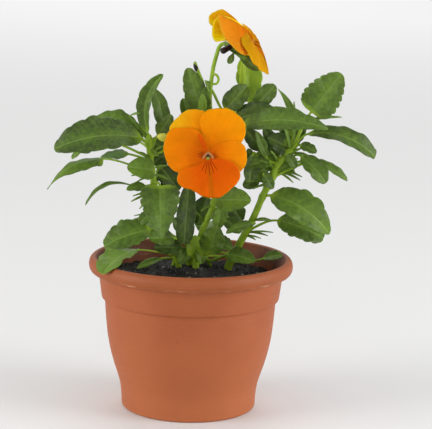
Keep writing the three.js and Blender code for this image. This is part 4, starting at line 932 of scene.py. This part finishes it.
def addLeaf(shell, leaf):
    face, heel = Vector(leaf["face"]), Vector(leaf["heel"])
    span = Vector(leaf["tip"]) - heel
    bow, sweep, wave = leaf["bow"], leaf.get("sweep", 0), leaf.get("wave", foliage["wave"])
    steep, twist = tan(radians(leaf.get("fold", foliage["fold"]))), radians(leaf.get("twist", 0))
    width, teeth = leaf["width"], leaf["teeth"]
    rise = (face - span * (face.dot(span) / span.length_squared)).normalized()
    swing = span.cross(rise).normalized()
    section = foliage["broad" if width > foliage["broadFrom"] else "slim"]
    pairs = max(3, round(span.length / foliage["veinSpacing"]))
    thickness, depth = foliage["bladeThickness"], foliage["midribDepth"]

    def alongAt(t):
        slope = 4 * (1 - 2 * t)
        return (span + rise * bow * slope + swing * sweep * slope).normalized()

    def height(s, half, below):
        out = abs(s) * half
        phase = t * pairs - out * foliage["veinSlant"] + (foliage["veinOffset"] if s < 0 else 0)
        veins = abs(phase % 1 - 0.5) * 2
        bulge = foliage["quilting"] * (1 - veins ** 3) * min(1, out / 2.5) * (1 - s ** 4) * min(1, half / 8)
        frill = foliage["frill"] * half * s * s * sin(23 * t + 3 * s + width)
        lift = half * steep * abs(s) ** 1.25 - ripple * s + blade * (bulge + frill)
        skin = thickness / 2 * sqrt(max(0, 1 - s ** 6))
        rib = depth * exp(-(s * half / 0.8) ** 2) * blade
        if below:
            skin = -skin
            rib = 1.5 * depth * exp(-(s * half / 0.7) ** 2) * blade * (1 - 0.7 * t)
        return lift + blade * (skin - thickness / 2 - rib) + (1 - blade) * stalkHeight(s, half, below)

    rings = petioleRings(leaf, alongAt(0), rise, section) if "root" in leaf else []
    rows = max(12, round(span.length / 1.2), 11 * teeth + 8)
    for i in range(rows + 1):
        x = i / rows
        t = 0.8 * x + 0.2 * (0.5 - 0.5 * cos(pi * x))
        arc = 4 * t * (1 - t)
        middle = heel + span * t + rise * bow * arc + swing * sweep * arc
        along = alongAt(t)
        aside = Matrix.Rotation(twist * t, 3, along) @ along.cross(rise).normalized()
        ripple = wave * width * sin(pi * t) * sin(9 * t + width)
        blade = min(1, t / foliage["stalkFade"])
        stalk = (1 - blade) if "root" in leaf else 0
        marks = (max(stalk, leaf.get("pale", 0)), 0, leaf["tone"])
        rings.append(leafSection(section, middle, aside, aside.cross(along), leafHalf(leaf, t, teeth), height,
                                 t * pairs, marks))
    addLoft(shell, rings)


def bloomMatrix(bloom):
    out = Vector(bloom["normal"]).normalized()
    upper = Vector(bloom["up"])
    upper = (upper - out * upper.dot(out)).normalized()
    right = upper.cross(out)
    return Matrix.Translation(bloom["eye"]) @ Matrix((right, upper, out)).transposed().to_4x4()


# The green cup behind a bloom, its sepals and the spur
def addCalyx(shell, bloom):
    place = bloomMatrix(bloom)
    cup, claw, spur = (place @ Vector(bloom[name]) for name in ("cup", "claw", "spur"))
    toClaw = (claw - cup).normalized()
    addTube(shell, [cup - toClaw * 1.4, cup, cup + toClaw * 1.5], (1.5, 1.75), (0, 1, 0, 0.35), sides=16, step=0.5)
    addTube(shell, [cup, cup.lerp(spur, 0.5), spur], (1.5, bloom["spurTip"]), (0, 0.6, bloom["spurDark"], 0.3),
            sides=14, step=0.6)
    if bloom["neck"]:
        addTube(shell, bloom["neck"], (1.4, 2.1), (0, 0.55, 0, 0.05), sides=16, step=0.8)
    for lobe in bloom["lobes"]:
        addLeaf(shell, {"wave": 0, "bow": 0.6, "blunt": 0.6, "teeth": 0, **lobe})
    for degrees, reach, depth in bloom["sepals"]:
        turn = radians(degrees)
        heel, tip = (
            place @ Vector((far * sin(turn), bloom["cup"][1] + far * cos(turn), height))
            for far, height in ((1, bloom["cup"][2]), (reach, depth)))
        addLeaf(shell, dict(heel=heel, tip=tip, face=place.to_3x3().col[2], width=3, fold=5, wave=0, bow=0.4,
                            blunt=0.6, teeth=0, tone=0.3))


# Open blooms: outlines in mm from the eye, right and up as the bloom faces you

petalShapes = {
    "upperLeft": dict(
        outline=[(-0.6, 1), (-8, 5.5), (-16, 8), (-21.5, 11), (-23, 14.5), (-21.6, 18), (-19.4, 21.2), (-16.4, 24.1),
                 (-13, 26.2), (-9.5, 27), (-6, 26.6), (-2.5, 25), (0.8, 19), (1, 9)],
        turn=-34, layer=-2.9, frill=0.35, guide=0, colours=("#d07206", "#da8508", "#df910a"),
        # a yellower outer side: painted light on that side, partly the petal's own yellow
        side=("#dba212", -8, -18)),
    "upperRight": dict(
        outline=[(-1, 3), (-3, 9), (-4.6, 15), (-5.4, 20), (-4.2, 24.2), (-1.2, 26.4), (3, 27.7), (7, 28.1),
                 (11.5, 27.4), (16.3, 24.6), (19.6, 20.7), (21, 16), (20.5, 12), (18.5, 8.5), (14, 4.5), (8, 1.5),
                 (2, 1)],
        turn=26, layer=-1.8, frill=0.3, guide=0, colours=("#c85c04", "#d87f04", "#dd8d06")),
    "left": dict(
        outline=[(-1.5, -2.5), (-7, -7.5), (-13.5, -10.4), (-18.6, -9.5), (-22.7, -5.6), (-24.9, -0.8), (-25.6, 4.2),
                 (-25.1, 9), (-23.4, 12.8), (-20.2, 15.3), (-14.5, 15.9), (-8.6, 15.2), (-4.6, 12.8), (-2, 8.4),
                 (-0.4, 3)],
        turn=-80, layer=-0.7, frill=0.25, guide=0.8, colours=("#be4805", "#d06d05", "#d67d06")),
    "right": dict(
        outline=[(0.8, 2.5), (5, 6.6), (11, 9), (16.5, 9.2), (19.9, 7.4), (21.7, 3.6), (22.3, -0.6), (21.3, -4.8),
                 (18.9, -8.1), (14, -9.4), (7, -7.5), (1.5, -2.5)],
        turn=92, layer=-0.8, frill=0.25, guide=0.8, colours=("#c25004", "#d57304", "#dc8708")),
    "lower": dict(
        outline=[(-0.8, -1.4), (-3, -3.6), (-7, -6), (-11.5, -7.4), (-15, -8.8), (-16.6, -11), (-17.1, -14),
                 (-15.6, -17), (-12.8, -18.9), (-9.8, -19.6), (-6.9, -20.6), (-2.3, -23), (2.3, -24), (5.5, -23.8),
                 (8.6, -22.8), (13.9, -18.6), (17.7, -14.1), (18.9, -10), (18, -6.8), (15.6, -4.2), (12.4, -2.5),
                 (8.4, -1.7), (4.2, -1.4), (1.4, -1)],
        turn=172, layer=0.5, frill=0.3, guide=1, colours=("#c65003", "#cc5404", "#d26206"),
        # a yellower left side: painted light on that side, partly the petal's own yellow
        side=("#d46a06", -5, -16)),
}

# the top bloom is nodding and its petals bend far back: right, up and height of each edge point
foldedShapes = {
    "upperLeft": dict(
        outline=[(-1, 6.4, -1), (-3, 14.4, -3.1), (-5, 21.9, -5.7), (-8, 26.1, -11.1), (-10, 26, -17.4),
                 (-12, 22.6, -22), (-12.5, 18.6, -24.7), (-11, 15.4, -24.4), (-9.6, 13.6, -22.3),
                 (-7.6, 11.6, -18.5), (-5, 7.4, -13.6), (-2, 0.1, -8.3)],
        back=("#f0bc06", "#fed814", "#e2ae10"), colours=("#f0bc06", "#fcd20e", "#e2ae10"), side=None),
    "upperRight": dict(
        outline=[(3, 7.7, 2.3), (4, 11.7, -1.1), (6, 16.8, -0.8), (8, 22.5, -0.8), (9, 26.9, -1.1), (8, 29.5, -6),
                 (6, 29.9, -11.4), (4, 28.2, -15), (3, 24.9, -16.4), (1, 18, -14.7), (1, 8.1, -9.5),
                 (2, 1.9, -4.5)],
        back=("#c77a02", "#cc8a06", "#c28c0a"), colours=("#c87004", "#ca8206", "#c08c0a")),
    "left": dict(
        outline=[(-1.5, 1.5, -2.5), (-3, 6.9, -2.1), (-5, 11.9, -4.1), (-9, 18, -7.5), (-11, 23.6, -9.8),
                 (-12, 27.6, -12.3), (-15, 22.4, -16.8), (-17, 14.7, -19.5), (-18, 6, -19.5),
                 (-18.5, 0.4, -18.2), (-17, -4, -15.6), (-10, -3.4, -10.4), (-4, -1.7, -5.2)],
        back=("#bc5602", "#c66c06", "#d28418"), colours=("#bc5602", "#c66c06", "#d28418")),
    "right": dict(reflex=4, colours=("#c06404", "#d4860a", "#da920e")),
    "lower": dict(
        outline=[(-1, 3.6, -0.7), (-3, 10.3, -1.1), (-4, 13, -0.8), (-2.5, 8.6, 1.2), (0, 3.6, 2.7), (3, -5, 2.7),
                 (2, -12.5, 0), (0, -18.2, -3.3), (1, -25, -6.3), (-4, -21.1, -9.5), (-9, -17, -12),
                 (-15, -14.2, -13.8), (-18, -10.3, -15), (-19, -5.7, -14.6), (-18, -0.6, -13.6),
                 (-15, 4.4, -11.7), (-9, 8.7, -7.6), (-5, 9.3, -4.5)],
        back=("#bc5e04", "#b07404", "#bc8806"), colours=("#b85a04", "#ac7204", "#bc8806"), side=None),
}

# sepals have a turn in degrees, a reach and a depth; reflex is how far the petals' outer edges bend back
blooms = {
    "front": dict(
        eye=(8.3, -22, 153.2), normal=(-0.05, -0.97, 0.22), up=(0.02, 0.22, 1), size=1, reflex=2,
        throat=(0, 0, -2.5), claw=(0, 0.7, -6.3), cup=(0, 1, -8.4), spur=(0, -2.5, -12), spurDark=0.2, spurTip=1.15,
        sepals=[(turn, 10, -7) for turn in (36, 108, 180, -108, -36)], neck=[], lobes=[], own={}),
    "top": dict(
        eye=(33.4, 14, 217.2), normal=(0.74, 0.3, 0.6), up=(-0.63, 0, 0.777), size=0.88, reflex=0,
        throat=(0, 3, -5), claw=(0, 4.2, -8.95), cup=(0, 4.6, -11), spur=(-3.4, 6, -19.4), spurDark=1, spurTip=1.9,
        sepals=[(76, 7, -12), (108, 9, -8.5), (-36, 8, -11.5)],
        neck=[(17, 13.5, 214.4), (20, 10.5, 212.6), (24.5, 9, 209.6), (29, 8.5, 206.6)],
        lobes=[dict(heel=(24, 8, 210), tip=(37, 8, 199.5), face=(0.35, -0.9, -0.2), width=6, lean=1.3, fold=6,
                    tone=0.1),
               dict(heel=(22.5, 8.5, 210), tip=(19.2, 7, 203), face=(0.2, -0.95, 0.1), width=4, lean=1.5, blunt=0.8,
                    fold=4, tone=0.35),
               dict(heel=(17.5, 11, 213.6), tip=(28, 6, 208.5), face=(0.2, -0.95, 0.2), width=4.2, fold=5, tone=0)],
        own=foldedShapes),
}

petalSheet = {
    "around": 112, "rings": 24, "crowding": 0.85, "thickness": 0.42, "heart": 2.2, "uneven": 0.006, "belly": 1.5,
    "grooveDepth": 0.7, "grooveWidth": 2.6,
}


# An outline as a smooth closed loop of evenly spaced points, clockwise as the bloom faces you
def closedLoop(outline, count):
    knots = [Vector((*point, 0)[:3]) for point in outline]
    if sum(a.x * b.y - a.y * b.x for a, b in zip(knots, knots[1:] + knots[:1])) > 0:
        knots.reverse()
    dense = []
    for i in range(len(knots)):
        a, b, c, d = (knots[(i + k) % len(knots)] for k in (-1, 0, 1, 2))
        for k in range(12):
            x = k / 12
            dense.append(0.5 * (2 * b + (c - a) * x + (2 * a - 5 * b + 4 * c - d) * x * x
                                + (3 * b - a - 3 * c + d) * x ** 3))
    return [point for point, _ in evenSteps(dense + dense[:1], count)[:-1]]


def petalHeight(shape, reach, throat, x, y):
    share = hypot(x, y) / reach
    turn = atan2(x, y) - radians(shape["turn"])
    turn = (turn + pi) % (2 * pi) - pi
    height = shape["layer"] * min(1, 2.2 * share) - shape["reflex"] * share * share
    height += throat * max(0, 1 - share) ** 3
    height += shape["frill"] * (share ** 3 * sin(6 * turn + reach) + 0.5 * share * share * sin(11 * turn))
    if shape["guide"] == 1:  # the lower petal is hollow along its middle
        aside = hypot(x, y) * sin(turn)
        height -= petalSheet["grooveDepth"] * share * exp(-(aside / petalSheet["grooveWidth"]) ** 2)
    return height, share, turn


def clamp(x):
    return max(0, min(1, x))


def addPetal(shell, shape, bloom):
    folded = len(shape["outline"][0]) == 3
    around, count = petalSheet["around"], petalSheet["rings"]
    loop = closedLoop(shape["outline"], around)
    for i, point in enumerate(loop):  # a slightly uneven edge
        point.xy *= 1 + petalSheet["uneven"] * (sin(0.39 * i + shape["turn"]) + 0.6 * sin(0.95 * i))
    reach = max(point.xy.length for point in loop)
    aim = radians(shape["turn"])
    middle = Vector((sin(aim), cos(aim), 0)) * petalSheet["heart"]
    place, size, throat = bloomMatrix(bloom), bloom["size"], bloom["throat"]
    front, back = ([linear(colour)[:3] for colour in colours]
                   for colours in (shape["colours"], shape.get("back", petalTissue["back"])))
    first = len(shell["points"])

    def addSpot(rim, radius, below):
        flat = middle.lerp(rim, radius)
        height, share, turn = petalHeight(shape, reach, throat[2], flat.x, flat.y)
        if folded:
            share = radius
            height = throat[2] * (1 - share) ** 3 + rim.z * share ** 1.4 + shape["frill"] * share * sin(9 * turn)
            height += petalSheet["belly"] * sin(pi * share)
        if below:
            height -= petalSheet["thickness"] * sqrt(max(0, 1 - radius ** 4))
        point = Vector((flat.x * size, flat.y * size, height * size))
        point += Vector((throat[0], throat[1], 0)) * max(0, 1 - share) ** 3
        near, far = clamp(share / 0.5), clamp((share - 0.5) / 0.5)
        colour = [a + (b - a) * near + (c - b) * far for a, b, c in zip(*(back if below else front))]
        # a yellower colour blended in towards one side of the petal: painted light, partly the petal's own colour
        if shape.get("side") and not below:
            other, start, end = shape["side"]
            swap = clamp((flat.x - start) / (end - start))
            colour = [a + (b - a) * swap for a, b in zip(colour, linear(other))]
        addPoint(shell, place @ point, (turn, hypot(flat.x, flat.y) / 10), (*colour, shape["guide"]),
                 0.5 if radius == 1 else below)

    for below, steps in ((0, range(1, count + 1)), (1, range(count - 1, 0, -1))):
        for k in steps:
            for rim in loop:
                addSpot(rim, (k / count) ** petalSheet["crowding"], below)
    joinRings(shell, first, around, 2 * count - 1)
    addSpot(middle, 0, 0)
    addSpot(middle, 0, 1)
    top, bottom = len(shell["points"]) - 2, len(shell["points"]) - 1
    last = bottom - 1 - around
    for k in range(around):
        n = (k + 1) % around
        shell["faces"] += [(top, first + n, first + k), (bottom, last + k, last + n)]


# The stigma, the dark ball over it that is painted shade for the throat's opening, and the two tufts of hairs that
# meet above them, in mm from the eye
heart = {
    "stigma": ((0, -1.3, -1.3), (1.2, 0.95, 0.8)),
    "throatShade": ((0.02, 0.25, -1.25), (0.95, 1.05, 0.6)),
    "tufts": [[(-2.7, -1.4, -1), (-1.6, 0.4, -0.9), (-0.2, 1.7, -1.1)],
              [(3, -1.2, -1), (1.8, 0.5, -0.9), (0.3, 1.8, -1.1)]],
    "tuftRadius": 0.3, "patch": 10 / 7,
    "hairDensity": 3.0e7, "hairs": (0.35, 0.7), "seed": 5,  # per square metre, mm
    # the left petal's rolled inner edge: middle, turn in degrees, half sizes
    "fold": ((-3.7, 8.1, -0.45), 25, (0.85, 4.9, 0.75)), "foldColour": "#c24c04", "clawColour": "#c78a10",
}


def addBall(shell, matrix, middle, sizes, skin=bare, sides=24, rows=14):
    def place(turn):
        spot = Vector((sizes[0] * wide * cos(turn), sizes[1] * wide * sin(turn), sizes[2] * high))
        return matrix @ (Vector(middle) + spot), (turn, high)

    rings = []
    for i in range(1, rows):
        high, wide = -cos(pi * i / rows), sin(pi * i / rows)
        rings.append(ringOf(sides, skin, place))
    return addLoft(shell, rings)


def addHeart(name, bloom, skins, hairTree):
    place = bloomMatrix(bloom) @ Matrix.Diagonal((bloom["size"],) * 3).to_4x4()
    for part in ("stigma", "throatShade"):
        hand(makePiece(name + "_" + part, addBall(newShell(), place, *heart[part]), skins[part]), "petals")
    shell = newShell()
    for route in heart["tufts"]:
        addTube(shell, [place @ Vector(point) for point in route], (heart["tuftRadius"] * 0.8, heart["tuftRadius"]),
                bare, step=0.3)
    pads = makePiece(name + "_beard_pads", shell, skins["beard"])
    beard = scatterOver(name + "_beard", pads, hairTree, heart["hairs"], Density=heart["hairDensity"], Tilt=0.5,
                        Upward=-1.0, Seed=heart["seed"])
    hand(pads, "petals")
    hand(beard, "petals")


# Buds

buds = {
    "left": {"middle": (-17.8, -1.2, 160.4), "along": (-1, 0, 0.15), "length": 7.5, "radius": 2.5, "sides": 36,
             "rows": 36, "skin": (0, 0, 0, 0.5)},
    "dark": {"middle": (0.3, 13.5, 200), "along": (-0.35, 0, 0.94), "length": 6, "radius": 1.25, "sides": 18,
             "rows": 22, "skin": (0, 0.3, 1, 0.3)},
}


def addBud(shell, bud):
    def place(turn):
        out = girth * (1 + 0.08 * abs(sin(1.5 * turn + 1.6 * t)) - 0.04)
        return middle + aside * out * cos(turn) + upward * out * sin(turn), (turn, t)

    ahead = Vector(bud["along"]).normalized()
    aside = ahead.cross((0.2, 0.9, 0.3)).normalized()
    upward = ahead.cross(aside)
    rings = []
    for i in range(bud["rows"] + 1):
        t = 0.004 + 0.992 * i / bud["rows"]
        girth = bud["radius"] * sin(pi * t ** 0.85) ** 0.62
        middle = Vector(bud["middle"]) + ahead * bud["length"] * (t - 0.5)
        rings.append(ringOf(bud["sides"], bud["skin"], place))
    return addLoft(shell, rings)


# The pieces, each hung under the root body; the imported node that a piece stands for is hidden

def hand(piece, slot, *nodes):
    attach(piece, "root")
    if nodes:
        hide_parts(*nodes)


hand(makePot(mouldedPolypropylene()), "pot_plastic", "pot")
print("pot turned and drilled")

compost = peatCompost()
soilBody = makeSoil(compost)
crumbs = scatterOver("soil_crumbs", soilBody, scatterTree("scattered crumbs", compost, crumbForm), soil["crumbs"],
                     Density=soil["crumbDensity"], Tilt=3.1, Upward=0.45, Seed=soil["seed"])
fibres = scatterOver("soil_fibres", soilBody, scatterTree("scattered fibres", coirFibre(), fibreForm), soil["fibres"],
                     Density=soil["fibreDensity"], Tilt=0.12, Upward=0.6, Seed=soil["seed"] + 4)
hand(soilBody, "soil", "potting_soil")
hand(crumbs, "soil")
hand(fibres, "soil")
print("soil filled")

greenTissue = livingLeafTissue()
for name, (route, radii) in stems.items():
    shell = newShell()
    addTube(shell, route, radii, (0, 1, 0, 0.6), sides=foliage["stemSides"], step=foliage["stemStep"],
            knots=[Vector(one["root"]) for one in leaves[name]])
    for one in leaves[name]:
        addLeaf(shell, one)
    for foot, tip, width in stipules[name]:
        addLeaf(shell, dict(heel=foot, tip=tip, width=width, face=(0, -0.6, 0.8), bow=1, fold=8, teeth=0, tone=0.65))
    for route, radius in flowerStalks[name]:
        addTube(shell, route, (radius * 1.1, radius), (0, 1, 0, 0.45), step=1.4)
    if name == "centre":
        addBud(shell, buds["dark"])
        for bloom in blooms.values():
            addCalyx(shell, bloom)
    hand(makePiece(name + "_foliage", shell, greenTissue), "leaves", name + "_leafy_stem")
print("stems and leaves grown")

velvet = petalVelvet()
skins = {
    "stigma": flowerFlesh("yellow-green stigma", "#918c1e", "#6b6812", 0.35),
    # a dark ball of painted shade for the throat's opening
    "throatShade": flowerFlesh("painted throat shade", "#352e08", "#201a05", 0.85),
    "beard": flowerFlesh("pale beard hair", "#cc9a64", "#b47c44", 0.6),
}
hairTree = scatterTree("beard hairs", skins["beard"], hairForm)
for name, bloom in blooms.items():
    shell = newShell()
    for petal, shape in petalShapes.items():
        addPetal(shell, {"reflex": bloom["reflex"], **shape, **bloom["own"].get(petal, {})}, bloom)
    place = bloomMatrix(bloom)
    if name == "front":
        middle, turn, sizes = heart["fold"]
        rolled = place @ Matrix.Translation(middle) @ Matrix.Rotation(radians(turn), 4, "Z")
        addBall(shell, rolled, (0, 0, 0), sizes, (*linear(heart["foldColour"])[:3], 0))
    throat, claw = Vector(bloom["throat"]), Vector(bloom["claw"])
    hub = [claw, throat.lerp(claw, 0.5), throat - Vector((0, 0, 1.4))]
    addTube(shell, [place @ point for point in hub], (1.5, 1.9 * bloom["size"]),
            (*linear(heart["clawColour"])[:3], 0), sides=20, step=0.5)
    hand(makePiece(name + "_petals", shell, velvet), "petals", name + "_bloom_petals")
    addHeart(name, bloom, skins, hairTree)
print("blooms opened")

hand(makePiece("furled_bud", addBud(newShell(), buds["left"]), furledBud()), "bud", "left_bud")
print("bud added")
